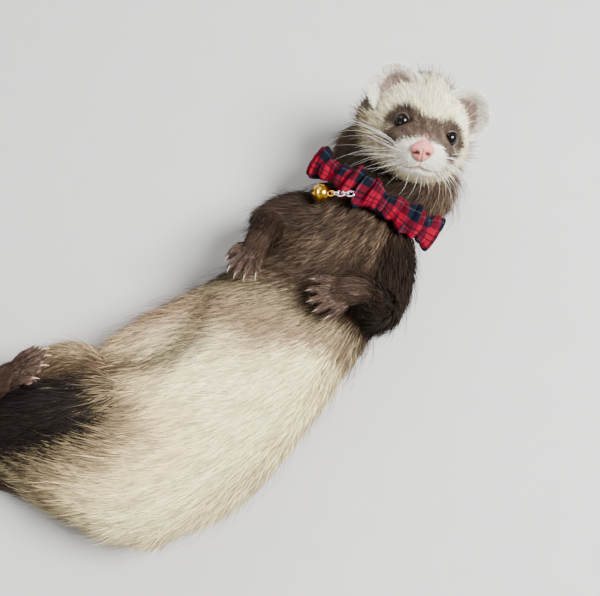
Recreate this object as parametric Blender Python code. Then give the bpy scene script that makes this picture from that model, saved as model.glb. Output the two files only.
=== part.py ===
"""A ferret lying on its back and looking up, with a gathered cloth collar and a small bell.

The animal rests on its back with the belly up. +Y runs from the tail to the head, +Z is up, and the
ferret's own left side is at +X. Tables give places and half sizes in millimetres, which MM turns into
metres. The solids reach to the tips of the coat. At the end the whole object is moved so that the
origin is at the middle of the bottom of its box.
"""

import math

import bmesh
import bpy
import numpy as np

MM = 0.001
GAP = 0.3
MOST_SHARPNESS = 1.6
FLOOR = 0.0
UP = (0.0, 0.0, 1.0)

# The body's axis from inside the head to the tip of the tail: x, y, z, half width, half height.
SPINE = (
    (-36, 93, 47, 20, 18),
    (-33, 85, 39, 27, 22),
    (-28.5, 74, 33, 31.5, 24),
    (-24, 60, 29.5, 27, 22.5),
    (-18, 47, 27, 29, 24),
    (-9, 31, 26, 31.5, 26.5),
    (-1, 12, 26.5, 33.5, 27.5),
    (4, -12, 27, 38, 28),
    (8, -35, 27.5, 43, 29),
    (11, -60, 28.5, 48, 30),
    (13, -81, 28.5, 49, 30),
    (11, -97, 28.5, 44.5, 30),
    (0, -111, 28, 33.5, 29),
    (-15, -124, 26, 28.5, 27),
    (-31, -137, 21.5, 23, 22.5),
    (-48, -149, 16.5, 16.5, 17),
    (-66, -160, 12.5, 12.5, 13),
    (-86, -174, 10.5, 11, 11),
    (-103, -192, 9.5, 10, 10),
    (-112, -215, 8.3, 8.8, 8.8),
    (-114, -239, 6.3, 6.8, 6.8),
    (-111, -255, 4.5, 4.6, 4.6),
)
SPINE_STEPS = 3
SPINE_SIDES = 24
TAIL_SIDES = 14
# The lengths of the body between rows of SPINE, each a node.
LENGTHS = (("neck", 0, 4), ("chest", 4, 7), ("belly", 7, 11), ("rump", 11, 15), ("tail", 15, 21))

# The head: the tip of the nose, and which way the face and the crown point.
HEAD_TIP = (-14.5, 72.1, 82.0)
HEAD_FORWARD = (0.440, -0.425, 0.791)
HEAD_CROWN = (-0.428, 0.675, 0.601)
# Sections of the head: distance behind the tip, half width, height above the tip, depth below it.
HEAD = (
    (0.6, 3.6, 2.6, 3.2),
    (2.2, 6.0, 4.0, 5.6),
    (5.0, 9.0, 5.8, 8.6),
    (9.0, 12.2, 8.2, 11.4),
    (14.5, 15.8, 11.8, 14.8),
    (21.0, 19.4, 17.4, 18.4),
    (29.0, 23.6, 23.6, 21.4),
    (38.0, 26.8, 27.4, 23.4),
    (47.0, 26.9, 26.8, 23.2),
    (55.5, 23.9, 22.2, 20.2),
    (62.5, 17.6, 14.6, 13.8),
    (66.0, 9.4, 7.0, 7.8),
)
HEAD_LENGTH = 67.0
# The back of the head stands this far to the side of the line through the nose.
HEAD_SWING = -2.8
HEAD_STEPS = 2
HEAD_SIDES = 28

EYE_PLACE = (10.9, 6.4, 19.8)
EYE_AXIS = (0.46, 0.17, 0.87)
EYE_RADIUS = 3.7
LID_RADIUS = 4.8
LID_OPENING = (3.0, 2.75)
NOSE_PLACE = (0.0, 0.5, 1.7)
NOSE_RADII = (5.1, 4.4, 3.0)
NOSTRIL_PLACE = (2.1, -0.5, -0.9)
NOSTRIL_RADII = (0.85, 0.7, 1.6)
LIP_PLACE = (4.6, -5.0, 7.6)
LIP_RADII = (6.2, 4.6, 5.4)
CHIN_PLACE = (0.0, -9.6, 10.0)
CHIN_RADII = (6.4, 3.4, 6.0)
# The line of the mouth from its corner to the middle: how far to the side, and how far below the tip.
MOUTH = ((12.6, -7.0), (10.2, -8.0), (7.2, -8.4), (4.4, -8.2), (1.8, -7.4), (0.0, -6.9))
MOUTH_GROOVE = 0.7
EAR_PLACE = (15.6, 15.6, 33.5)
EAR_LEAN = (0.83, 0.55, -0.06)
EAR_FACE = (0.08, 0.06, 0.99)
EAR_RADII = (12.2, 12.0)
EAR_CUP = 4.6
EAR_THICKNESS = 2.2
# Shares of the ear's radii: out over the cup to the rim, then back over its outer side.
EAR_RINGS = (0.3, 0.55, 0.78, 0.93, 1.0, 0.95, 0.8, 0.56, 0.3)
EAR_RIM = 4

# Legs: rows of x, y, z, half width, half height along each length of the leg.
FORELEGS = {
    "right": (
        ((-22, 36, 31, 13, 13), (-31, 27, 34, 13, 12.5), (-36, 18, 36, 12, 11.5), (-37.5, 10, 38, 10.5, 10)),
        (
            (-37, 12, 37.5, 10, 10),
            (-35.6, 8, 43.5, 9.2, 8.8),
            (-32.6, 4, 49, 8.2, 7.4),
            (-30.2, 1, 51.5, 6.8, 6.2),
        ),
    ),
    "left": (
        ((-4, 50, 32, 14, 13.5), (8, 44, 33, 13.5, 13), (18, 35.5, 34, 12.5, 12), (24, 27, 36, 11, 11)),
        (
            (24, 29, 37, 10.5, 10.5),
            (22.8, 25.4, 48, 10, 9.6),
            (19, 22.4, 57, 8.7, 7.9),
            (15.8, 20.2, 61.2, 7.4, 6.5),
        ),
    ),
}
HINDLEGS = {
    "right": (
        (
            (-31, -118, 22, 20, 20),
            (-27, -107, 29, 19.5, 18),
            (-18, -100, 39, 16.5, 15),
            (-9, -97, 47, 13, 12),
        ),
        ((-8, -101, 47, 13, 12), (-15, -114, 50, 14, 12.5), (-22, -130, 49, 12, 11), (-28, -145, 46, 9.4, 9)),
    ),
    "left": (
        (
            (4, -122, 24, 24, 22),
            (18, -119, 25, 22.5, 21.5),
            (32, -114, 25.5, 19.5, 19),
            (41, -109, 25.5, 16, 16),
        ),
        ((40, -111, 25, 15, 15), (22, -126, 22, 14.5, 14), (6, -140, 18, 11.5, 11.5), (-4, -148, 14, 9, 9)),
    ),
}
LEG_STEPS = 3
LEG_SIDES = 12
PAW_STEPS = 2

# Paws: the rows of the sole, the way its back faces, the spread of the toes in degrees, their
# lengths, and the toe and claw sizes.
FOREPAWS = {
    "right": (
        ((-31.4, 2.2, 51.5, 6, 5.3), (-29, -2.8, 53.4, 6.2, 4.9), (-26.6, -7.8, 54.4, 6.3, 4.1)),
        (-0.35, 0.1, 0.93),
    ),
    "left": (
        ((17.5, 22.5, 61, 6.4, 5.6), (14.9, 17.3, 62.6, 6.7, 5.1), (12.7, 12.1, 62.4, 6.8, 4.3)),
        (0.12, 0.05, 0.99),
    ),
}
HINDPAWS = {
    "right": (
        (
            (-29, -148, 47, 7.6, 6.8),
            (-34, -143, 52, 7.2, 5.8),
            (-36.5, -132, 56, 7.2, 4.8),
            (-36, -121, 58, 7.8, 4.2),
        ),
        (-0.62, 0.0, 0.78),
    ),
    "left": (
        (
            (-4, -149, 12.5, 8, 7.6),
            (-11, -156, 8.6, 7.4, 6.6),
            (-20, -165, 6.4, 7.4, 5.2),
            (-27.5, -172, 5.2, 8, 4.4),
        ),
        (0.15, -0.1, 0.98),
    ),
}
TOE_SPREAD = (-20, -9.5, -1, 7.5, 17)
TOE_LENGTHS = (7.2, 11.0, 12.4, 12.0, 9.6)
TOE_RADIUS = 2.1
CLAW_LENGTH = 4.4
CLAW_RADIUS = 0.85
CLAW_DROP = 1.3

# The collar, a tube of gathered cloth round the neck.
COLLAR_PLACE = (-24.0, 60.0, 29.5)
COLLAR_AXIS = (-0.346, 0.864, 0.366)
COLLAR_INNER = (27.9, 23.2)
COLLAR_WIDTH = 16.0
COLLAR_PUFF = 9.0
COLLAR_GATHERS = 12
COLLAR_WAVE = 1.5
COLLAR_STEPS = 60
COLLAR_SIDES = 8

# The bell and the chain that it hangs from, lying on the chest.
BELL_PLACE = (-33.1, 34.0, 51.6)
BELL_RADIUS = 4.3
BELL_RIM = 0.45
# The slot's width and how deep below the middle it stops, its half length and the place of its holes
# as shares of the bell's radius, and how far below the middle the cutters reach.
BELL_SLOT = (1.1, 2.4)
SLOT_LENGTH = 0.8
HOLE_PLACE = 0.66
SLOT_REACH = 9.0
BELL_HOLE = 0.9
CHAIN_END = (-25.0, 42.3, 56.0)
CHAIN_LINKS = 4
LINK_WIRE = 0.42
LINK_HALF_LENGTH = 1.75
LINK_HALF_WIDTH = 1.15

CREAM = (0.78, 0.71, 0.56)
SABLE = (0.11, 0.075, 0.055)
TAN = (0.42, 0.31, 0.21)
PINK = (0.75, 0.45, 0.38)
EYE_BLACK = (0.008, 0.006, 0.006)
PLAID_RED = (0.42, 0.02, 0.04)
GOLD = (0.83, 0.56, 0.12)
SILVER = (0.78, 0.78, 0.80)


def unit(vector):
    vector = np.asarray(vector, float)
    return vector / np.linalg.norm(vector)


def spline(rows, steps):
    """Points of a smooth curve through the rows, with the same number of steps from each to the next."""
    rows = np.asarray(rows, float)
    padded = np.vstack([2 * rows[0] - rows[1], rows, 2 * rows[-1] - rows[-2]])
    t = np.linspace(0, 1, steps, endpoint=False)[:, None]
    spans = []
    for before, start, end, after in zip(padded, padded[1:], padded[2:], padded[3:]):
        bend = 2 * before - 5 * start + 4 * end - after
        twist = 3 * start - before - 3 * end + after
        spans.append(0.5 * (2 * start + (end - before) * t + bend * t**2 + twist * t**3))
    return np.vstack(spans + [rows[-1:]])


def frames(points, up):
    """The way forward, the way to the side and the outward way of each point of a path."""
    ends = np.pad(np.gradient(points, axis=0), ((2, 2), (0, 0)), mode="edge")
    forward = sum(ends[k : k + len(points)] * weight for k, weight in enumerate((1, 2, 3, 2, 1)))
    forward /= np.linalg.norm(forward, axis=1)[:, None]
    side = np.cross(forward, np.asarray(up, float))
    side /= np.linalg.norm(side, axis=1)[:, None]
    return forward, side, np.cross(side, forward)


def closed_object(name, rings):
    """A closed mesh object through rings of points in millimetres, with a fan of triangles at each end."""
    count, sides = rings.shape[:2]
    points = np.vstack([rings.reshape(-1, 3), rings[0].mean(0), rings[-1].mean(0)])
    points[:, 2] = np.maximum(points[:, 2], FLOOR)
    around = [(k, (k + 1) % sides) for k in range(sides)]
    first, last, top = count * sides, count * sides + 1, (count - 1) * sides
    faces = [(first, b, a) for a, b in around] + [(last, top + a, top + b) for a, b in around]
    for ring in range(count - 1):
        low, high = ring * sides, (ring + 1) * sides
        faces += [(low + a, low + b, high + b, high + a) for a, b in around]
    mesh = bpy.data.meshes.new(name)
    mesh.from_pydata((points * MM).tolist(), [], faces)
    mesh.validate()
    return linked(name, mesh)


def looped_object(name, rings):
    """A closed mesh object through rings of points in millimetres that come round to the first again."""
    count, sides = rings.shape[:2]
    points = rings.reshape(-1, 3).copy()
    points[:, 2] = np.maximum(points[:, 2], FLOOR)
    faces = []
    for ring in range(count):
        low, high = ring * sides, (ring + 1) % count * sides
        for k in range(sides):
            after = (k + 1) % sides
            faces.append((low + k, low + after, high + after, high + k))
    mesh = bpy.data.meshes.new(name)
    mesh.from_pydata((points * MM).tolist(), [], faces)
    return linked(name, mesh)


def linked(name, mesh):
    """A scene object that holds the mesh, with its faces turned outward."""
    turn_outward(mesh)
    made = bpy.data.objects.new(name, mesh)
    bpy.context.scene.collection.objects.link(made)
    return made


def turn_outward(mesh):
    work = bmesh.new()
    work.from_mesh(mesh)
    bmesh.ops.recalc_face_normals(work, faces=work.faces)
    if work.calc_volume(signed=True) < 0:
        bmesh.ops.reverse_faces(work, faces=work.faces)
    work.to_mesh(mesh)
    work.free()


def tube(name, table, up=UP, sides=LEG_SIDES, domes=(3, 3), trims=(0.0, 0.0), course=None):
    """A closed tube through a table of places and half sizes.

    An end is a dome of some rings or, with none, flat and trimmed back by a length.

    The course is the three ways of each row, where the tube is a length of a longer one.
    """
    centres, sizes = table[:, :3].copy(), table[:, 3:5]
    forward, side, out = frames(centres, up) if course is None else course
    centres[0] += forward[0] * trims[0]
    centres[-1] -= forward[-1] * trims[1]
    turn = np.linspace(0, 2 * math.pi, sides, endpoint=False)
    across, along = np.cos(turn)[:, None], np.sin(turn)[:, None]

    def ring(k, scale=1.0, shift=0.0):
        width, height = sizes[k] * scale
        return centres[k] + forward[k] * shift + side[k] * across * width + out[k] * along * height

    rings = [ring(k) for k in range(len(table))]
    last = len(table) - 1
    for count, row, sign in ((domes[0], 0, -1), (domes[1], last, 1)):
        added = []
        for k in range(count):
            rise = (k + 1) / (count + 0.8) * math.pi / 2
            added.append(ring(row, math.cos(rise), sign * math.sin(rise) * sizes[row].min()))
        rings = added[::-1] + rings if row == 0 else rings + added
    return closed_object(name, np.array(rings))


def ellipsoid(name, centre, radii, axes=None, detail=3):
    """A ball stretched along three axes, in millimetres."""
    work = bmesh.new()
    bmesh.ops.create_icosphere(work, subdivisions=detail, radius=1.0)
    axes = np.eye(3) if axes is None else np.asarray(axes)
    for vert in work.verts:
        vert.co = ((np.asarray(vert.co) * radii) @ axes + centre) * MM
    mesh = bpy.data.meshes.new(name)
    work.to_mesh(mesh)
    work.free()
    return linked(name, mesh)


def remove(objects):
    for item in objects:
        bpy.data.objects.remove(item)


def combine(target, operation, others, solver="EXACT"):
    """Applies one Boolean of the target with a collection of closed objects, which are then removed."""
    others = [item for item in others if item]
    if not others:
        return target
    group = bpy.data.collections.new("operands")
    bpy.context.scene.collection.children.link(group)
    for item in others:
        group.objects.link(item)
    step = target.modifiers.new("combine", "BOOLEAN")
    step.operation = operation
    step.operand_type = "COLLECTION"
    step.collection = group
    step.solver = solver
    graph = bpy.context.evaluated_depsgraph_get()
    graph.update()
    mesh = bpy.data.meshes.new_from_object(target.evaluated_get(graph))
    target.modifiers.remove(step)
    target.data = mesh
    remove(others)
    bpy.data.collections.remove(group)
    return target


def keep_largest(target):
    """Drops all but the largest closed surface of an object."""
    work = bmesh.new()
    work.from_mesh(target.data)
    bmesh.ops.remove_doubles(work, verts=work.verts, dist=1e-6)
    bmesh.ops.dissolve_degenerate(work, edges=work.edges, dist=1e-6)
    work.faces.ensure_lookup_table()
    seen, shells = set(), []
    for face in work.faces:
        if face in seen:
            continue
        shell, front = [], [face]
        seen.add(face)
        while front:
            here = front.pop()
            shell.append(here)
            for edge in here.edges:
                fresh = [near for near in edge.link_faces if near not in seen]
                seen.update(fresh)
                front += fresh
        shells.append(shell)

    def size(shell):
        spots = [vert.co for item in shell for vert in item.verts]
        return math.prod(max(axis) - min(axis) for axis in zip(*spots))

    shells.sort(key=size)
    loose = [face for shell in shells[:-1] for face in shell]
    bmesh.ops.delete(work, geom=loose, context="FACES")
    bmesh.ops.triangulate(work, faces=work.faces)
    work.to_mesh(target.data)
    work.free()
    return target


def swollen(source, by=GAP):
    """A copy of an object grown outward by a clearance."""
    copy = bpy.data.objects.new(source.name + "_grown", source.data.copy())
    bpy.context.scene.collection.objects.link(copy)
    work = bmesh.new()
    work.from_mesh(copy.data)
    work.normal_update()
    moves = [vert.normal * min(vert.calc_shell_factor(), MOST_SHARPNESS) * by * MM for vert in work.verts]
    for vert, move in zip(work.verts, moves):
        vert.co += move
    work.to_mesh(copy.data)
    work.free()
    return copy


def clear_of(target, neighbours, solver="MANIFOLD"):
    """Cuts the target back from its neighbours by the gap that touching pieces keep."""
    for item in neighbours:
        combine(target, "DIFFERENCE", [swollen(item)], solver)
        keep_largest(target)
    return target


def finish(target, name, colour, roughness=0.8, metallic=0.0, sharp=40):
    """Names the node, gives it its own material and shades it smooth."""
    target.name = name
    target.data.name = name
    material = bpy.data.materials.new(name)
    material.use_nodes = True
    shader = material.node_tree.nodes["Principled BSDF"]
    shader.inputs["Base Color"].default_value = (*colour, 1.0)
    shader.inputs["Roughness"].default_value = roughness
    shader.inputs["Metallic"].default_value = metallic
    target.data.materials.clear()
    target.data.materials.append(material)
    target.data.shade_smooth()
    target.data.set_sharp_from_angle(angle=math.radians(sharp))
    return target


# The head's own axes: its left, its crown and the way its face points.
FORWARD = unit(HEAD_FORWARD)
CROWN = unit(np.asarray(HEAD_CROWN) - FORWARD * np.dot(HEAD_CROWN, FORWARD))
LEFT = np.cross(CROWN, FORWARD)


def head_point(left, crown, behind):
    t = min(max((behind - 18) / 24, 0.0), 1.0)
    left = left + HEAD_SWING * t * t * (3 - 2 * t)
    return np.asarray(HEAD_TIP) + left * LEFT + crown * CROWN - behind * FORWARD


def head_way(left, crown, ahead):
    return unit(left * LEFT + crown * CROWN + ahead * FORWARD)


def head_ball(place, radii, mirror=1.0, detail=3):
    centre = head_point(place[0] * mirror, place[1], place[2])
    return ellipsoid("ball", centre, radii, (LEFT, CROWN, FORWARD), detail)


def head_shell():
    """The head without its features, as sections across its own length."""
    table = spline(HEAD, HEAD_STEPS)
    turn = np.linspace(0, 2 * math.pi, HEAD_SIDES, endpoint=False)
    across, along = np.cos(turn), np.sin(turn)
    rings = []
    for behind, width, above, below in table:
        height = np.where(along > 0, above, below)
        rings.append(
            head_point(0, 0, behind)
            + np.outer(across * width, LEFT)
            + np.outer(along * height, CROWN)
        )
    shell = closed_object("head", np.array(rings))
    shell.data.vertices[len(shell.data.vertices) - 2].co = (head_point(0, 0, 0.1) * MM).tolist()
    shell.data.vertices[len(shell.data.vertices) - 1].co = (head_point(0, 0, HEAD_LENGTH) * MM).tolist()
    return shell


def eye_axes(mirror):
    ahead = head_way(EYE_AXIS[0] * mirror, EYE_AXIS[1], EYE_AXIS[2])
    side = unit(np.cross(CROWN, ahead))
    return side, np.cross(ahead, side), ahead


def lid_opening(mirror):
    """The almond of the open lids, as a short rod along the eye's axis."""
    side, over, ahead = eye_axes(mirror)
    centre = head_point(EYE_PLACE[0] * mirror, EYE_PLACE[1], EYE_PLACE[2])
    turn = np.linspace(0, 2 * math.pi, 16, endpoint=False)
    width = np.outer(np.cos(turn) * LID_OPENING[0], side)
    height = np.outer(np.sin(turn) * LID_OPENING[1], over)
    rings = [centre + width + height + ahead * reach for reach in (1.0, 3.0, 8.0)]
    return closed_object("opening", np.array(rings))


def face_front(left, crown):
    """How far behind the tip a line along the face meets the head, its lips or its chin."""
    behind = np.linspace(0.0, 25.0, 501)
    sections = np.array(HEAD).T
    width = np.interp(behind, sections[0], sections[1])
    height = np.interp(behind, sections[0], sections[2 if crown > 0 else 3])
    inside = (left / width) ** 2 + (crown / height) ** 2 < 1
    for place, radii in ((LIP_PLACE, LIP_RADII), (CHIN_PLACE, CHIN_RADII)):
        reach = ((abs(left) - place[0]) / radii[0]) ** 2 + ((crown - place[1]) / radii[1]) ** 2
        inside |= reach + ((behind - place[2]) / radii[2]) ** 2 < 1
    return behind[np.argmax(inside)]


def mouth_line():
    """Rows along the seam of the lips, from one corner to the other, on the face's own surface."""
    half = [(left, crown, face_front(left, crown)) for left, crown in MOUTH]
    rows = half + [(-left, crown, behind) for left, crown, behind in half[-2::-1]]
    return [head_point(*spot).tolist() + [MOUTH_GROOVE, MOUTH_GROOVE] for spot in rows]


def make_head():
    head = head_shell()
    added = [head_ball(NOSE_PLACE, NOSE_RADII), head_ball(CHIN_PLACE, CHIN_RADII, 1.0, 2)]
    removed = []
    for mirror in (1, -1):
        added.append(head_ball(LIP_PLACE, LIP_RADII, mirror, 2))
        added.append(head_ball(EYE_PLACE, (LID_RADIUS,) * 3, mirror))
        removed.append(head_ball(EYE_PLACE, (EYE_RADIUS + GAP,) * 3, mirror))
        removed.append(lid_opening(mirror))
        removed.append(head_ball(NOSTRIL_PLACE, NOSTRIL_RADII, mirror, 2))
    removed.append(tube("mouth", spline(mouth_line(), 2), FORWARD, 5, (1, 1)))
    combine(head, "UNION", added)
    combine(head, "DIFFERENCE", removed)
    keep_largest(head)
    return finish(head, "head", CREAM)


def make_eye(side, mirror):
    return finish(head_ball(EYE_PLACE, (EYE_RADIUS,) * 3, mirror), "eye_" + side, EYE_BLACK, 0.05)


def make_ear(side, mirror, head):
    """A rounded bowl with a thick rim, its lower part lost in the head."""
    lean = head_way(EAR_LEAN[0] * mirror, EAR_LEAN[1], EAR_LEAN[2])
    face = head_way(EAR_FACE[0] * mirror, EAR_FACE[1], EAR_FACE[2])
    face = unit(face - lean * np.dot(face, lean))
    across = np.cross(lean, face)
    centre = head_point(EAR_PLACE[0] * mirror, EAR_PLACE[1], EAR_PLACE[2])
    turn = np.linspace(0, 2 * math.pi, 24, endpoint=False)
    rings = []
    for k, out in enumerate(EAR_RINGS):
        half = 0.5 * EAR_THICKNESS * math.sqrt(max(0.0, 1 - out**6)) * (1 if k < EAR_RIM else -1)
        lift = EAR_CUP * (out**2 - 0.5) + half
        rings.append(
            centre
            + np.outer(np.cos(turn) * EAR_RADII[0] * out, across)
            + np.outer(np.sin(turn) * EAR_RADII[1] * out, lean)
            + face * lift
        )
    ear = closed_object("ear", np.array(rings))
    clear_of(ear, [head])
    return finish(ear, "ear_" + side, PINK)


def make_lengths():
    """The neck, chest, belly, rump and tail, parted along the spine by thin gaps."""
    table = spline(SPINE, SPINE_STEPS)
    course = frames(table[:, :3], UP)
    made = {}
    for name, start, end in LENGTHS:
        part = slice(start * SPINE_STEPS, end * SPINE_STEPS + 1)
        domes = (3 if start == 0 else 0, 3 if end == len(SPINE) - 1 else 0)
        trims = (0.0 if domes[0] else GAP / 2, 0.0 if domes[1] else GAP / 2)
        sides = TAIL_SIDES if name == "tail" else SPINE_SIDES
        made[name] = tube(name, table[part], UP, sides, domes, trims, [ways[part] for ways in course])
    return made


def make_leg(name, lengths, colour, neighbours):
    pieces = [tube(name, spline(rows, LEG_STEPS), UP) for rows in lengths]
    leg = combine(pieces[0], "UNION", pieces[1:])
    clear_of(leg, neighbours)
    return finish(leg, name, colour)


def make_paw(name, sole, back, toe_scale, mirror, neighbours):
    """A paw: its sole as a tube, five spread toes and five claws that curve down."""
    table = spline(sole, PAW_STEPS)
    back = unit(back)
    paw = tube(name, table, back, 12, (2, 2))
    ahead = unit(table[-1, :3] - table[-2, :3])
    across = unit(np.cross(ahead, back))
    back = np.cross(across, ahead)
    knuckles, half = table[-1, :3], table[-1, 3]
    added = []
    for spread, length in zip(TOE_SPREAD, TOE_LENGTHS):
        angle = math.radians(spread)
        way = ahead * math.cos(angle) + across * math.sin(angle) * mirror
        root = knuckles + across * mirror * half * 2.5 * math.sin(angle) - ahead * 1.5
        reach = length * toe_scale
        tip = root + way * reach
        rise = back * 0.9
        toe = (root, root + way * reach * 0.5 + rise, tip)
        rows = [[*spot, TOE_RADIUS * size, TOE_RADIUS * size] for spot, size in zip(toe, (1.0, 1.0, 0.85))]
        added.append(tube("toe", np.array(rows), back, 6, (1, 1)))
        claw = [tip, tip + way * CLAW_LENGTH * 0.55, tip + way * CLAW_LENGTH - back * CLAW_DROP]
        rows = [[*spot, CLAW_RADIUS * size, CLAW_RADIUS * size] for spot, size in zip(claw, (1.0, 0.85, 0.3))]
        added.append(tube("claw", np.array(rows), back, 5, (0, 1)))
    combine(paw, "UNION", added)
    clear_of(paw, neighbours)
    return finish(paw, name, SABLE)


def make_collar(neighbours):
    """A ring of cloth with a puffed section, whose thickness rises and falls with its gathers."""
    axis = unit(COLLAR_AXIS)
    side = unit(np.cross(axis, UP))
    out = np.cross(side, axis)
    turn = np.linspace(0, 2 * math.pi, COLLAR_STEPS, endpoint=False)
    section = np.linspace(0, 2 * math.pi, COLLAR_SIDES, endpoint=False)
    sections = []
    for angle in turn:
        wave = math.cos(COLLAR_GATHERS * angle)
        lean = 0.9 * math.sin(COLLAR_GATHERS * angle * 0.5)
        ray = side * math.cos(angle) * COLLAR_INNER[0] + out * math.sin(angle) * COLLAR_INNER[1]
        way = unit(ray)
        puff = COLLAR_PUFF + COLLAR_WAVE * wave
        half = COLLAR_WIDTH / 2 + 0.8 * COLLAR_WAVE * wave
        lift = (0.5 * puff) * (1 + np.sin(section))
        drift = half * np.cos(section) + lean * np.sin(section)
        sections.append(np.asarray(COLLAR_PLACE) + ray + np.outer(lift, way) + np.outer(drift, axis))
    collar = looped_object("collar", np.array(sections))
    clear_of(collar, neighbours)
    return finish(collar, "collar", PLAID_RED)


def stadium(name, centre, along, across, half_length, half_width, wire, sides=5, steps=12):
    """A long ring of round wire."""
    along, across = unit(along), unit(across)
    normal = np.cross(along, across)
    straight = half_length - half_width
    rings = []
    for angle in np.linspace(0, 2 * math.pi, steps, endpoint=False) + math.pi / steps:
        shift = math.copysign(straight, math.cos(angle))
        way = along * math.cos(angle) + across * math.sin(angle)
        spot = np.asarray(centre) + along * shift + way * half_width
        section = np.linspace(0, 2 * math.pi, sides, endpoint=False)
        rings.append(spot + np.outer(np.cos(section) * wire, way) + np.outer(np.sin(section) * wire, normal))
    return looped_object(name, np.array(rings))


def make_bell():
    """A round bell with a rim round its middle, a slot with a hole at each end and an eye to hang from."""
    centre = np.asarray(BELL_PLACE)
    hang = unit(np.asarray(CHAIN_END) - centre)
    across = unit(np.cross(hang, UP))
    third = np.cross(hang, across)
    bell = ellipsoid("bell", centre, (BELL_RADIUS,) * 3)
    rim_radius = BELL_RADIUS - BELL_RIM * 0.4
    rim = stadium("rim", centre, across, third, rim_radius, rim_radius, BELL_RIM, 5, 18)
    eye = stadium("eye", centre + hang * (BELL_RADIUS + 0.7), hang, across, 1.5, 1.15, LINK_WIRE)
    combine(bell, "UNION", [rim, eye])
    half, depth = BELL_SLOT[0] / 2, BELL_SLOT[1]
    turn = np.linspace(0, 2 * math.pi, 12, endpoint=False)
    slot = []
    for reach in (-BELL_RADIUS * SLOT_LENGTH, BELL_RADIUS * SLOT_LENGTH):
        corners = ((half, -depth), (half, -SLOT_REACH), (-half, -SLOT_REACH), (-half, -depth))
        slot.append([centre + third * reach + across * x + hang * y for x, y in corners])
    cutters = [closed_object("slot", np.array(slot))]
    for reach in (-BELL_RADIUS * HOLE_PLACE, BELL_RADIUS * HOLE_PLACE):
        circle = np.outer(np.cos(turn), across) + np.outer(np.sin(turn), third)
        middle = centre + third * reach
        hole = [middle + circle * BELL_HOLE + hang * low for low in (-SLOT_REACH, -depth)]
        cutters.append(closed_object("hole", np.array(hole)))
    combine(bell, "DIFFERENCE", cutters)
    keep_largest(bell)
    return finish(bell, "bell", GOLD, 0.2, 1.0)


def make_chain():
    """Links from the bell's eye to the collar, each turned a quarter from the last."""
    start = np.asarray(BELL_PLACE)
    way = unit(np.asarray(CHAIN_END) - start)
    start = start + way * (BELL_RADIUS + 2.9)
    pitch = 2 * (LINK_HALF_LENGTH - LINK_WIRE) - 0.35
    flat = unit(np.cross(way, UP))
    links = []
    for k in range(CHAIN_LINKS):
        across = np.cross(way, flat) if k % 2 == 0 else flat
        spot = start + way * pitch * k
        link = stadium("link", spot, way, across, LINK_HALF_LENGTH, LINK_HALF_WIDTH, LINK_WIRE)
        links.append(finish(link, f"chain_link_{k + 1}", SILVER, 0.25, 1.0))
    return links


def place_origin(objects):
    """Moves everything so that the origin is at the middle of the bottom of the whole box."""
    spots = np.array([vert.co for item in objects for vert in item.data.vertices])
    low, high = spots.min(0), spots.max(0)
    shift = np.array([(low[0] + high[0]) / 2, (low[1] + high[1]) / 2, low[2]])
    for item in objects:
        for vert in item.data.vertices:
            vert.co = np.asarray(vert.co) - shift


def main():
    remove(list(bpy.data.objects))
    head = make_head()
    body = make_lengths()
    clear_of(body["neck"], [head])
    for name, colour in (("neck", SABLE), ("chest", SABLE), ("belly", CREAM), ("rump", TAN), ("tail", SABLE)):
        keep_largest(body[name])
        finish(body[name], name, colour)
    chain = make_chain()
    bell = make_bell()
    collar = make_collar([body["neck"], head, body["chest"], bell, *chain[2:]])
    made = [head, collar, bell, *body.values(), *chain]
    trunk = [body["neck"], body["chest"], body["belly"], body["rump"], body["tail"]]
    for side, mirror in (("left", 1), ("right", -1)):
        made.append(make_eye(side, mirror))
        made.append(make_ear(side, mirror, head))
        foreleg = make_leg("foreleg_" + side, FORELEGS[side], SABLE, trunk[:3] + [collar])
        sole, back = FOREPAWS[side]
        forepaw = make_paw("forepaw_" + side, sole, back, 1.0, mirror, trunk[1:3] + [foreleg])
        hindleg = make_leg("hindleg_" + side, HINDLEGS[side], SABLE, trunk[2:])
        sole, back = HINDPAWS[side]
        hindpaw = make_paw("hindpaw_" + side, sole, back, 1.15, mirror, trunk[2:] + [hindleg])
        made += [foreleg, forepaw, hindleg, hindpaw]
    place_origin(made)


main()
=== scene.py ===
"""A ferret lying on its back, with its coat, gathered plaid collar, bell and chain.

Laid out as a Blender add-on: each operator makes one piece, or a group of like pieces, in the frame of
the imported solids. Tables hold places and half sizes in millimetres in the body's own axes, where +Y runs
from the tail to the head, +Z is up and +X is the ferret's left. PLACE moves them into the frame.
"""

import math

import bpy
import numpy as np
from bpy.props import FloatProperty, FloatVectorProperty, IntProperty, PointerProperty
from mathutils import Matrix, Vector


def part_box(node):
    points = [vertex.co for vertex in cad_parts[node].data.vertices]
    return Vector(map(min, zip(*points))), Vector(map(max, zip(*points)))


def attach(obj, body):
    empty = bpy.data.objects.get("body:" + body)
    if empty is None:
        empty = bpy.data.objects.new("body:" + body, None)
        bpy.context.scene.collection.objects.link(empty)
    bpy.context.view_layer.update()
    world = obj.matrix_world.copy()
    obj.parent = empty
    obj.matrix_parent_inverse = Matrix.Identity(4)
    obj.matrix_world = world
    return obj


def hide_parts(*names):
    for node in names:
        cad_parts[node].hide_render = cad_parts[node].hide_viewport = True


bl_info = {
    "name": "Ferret in a plaid collar",
    "version": (1, 0, 0),
    "blender": (4, 5, 0),
    "location": "3D View > Sidebar > Ferret",
    "description": "Makes a ferret on its back with its coat, collar, bell and chain",
    "category": "Add Mesh",
}

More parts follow.
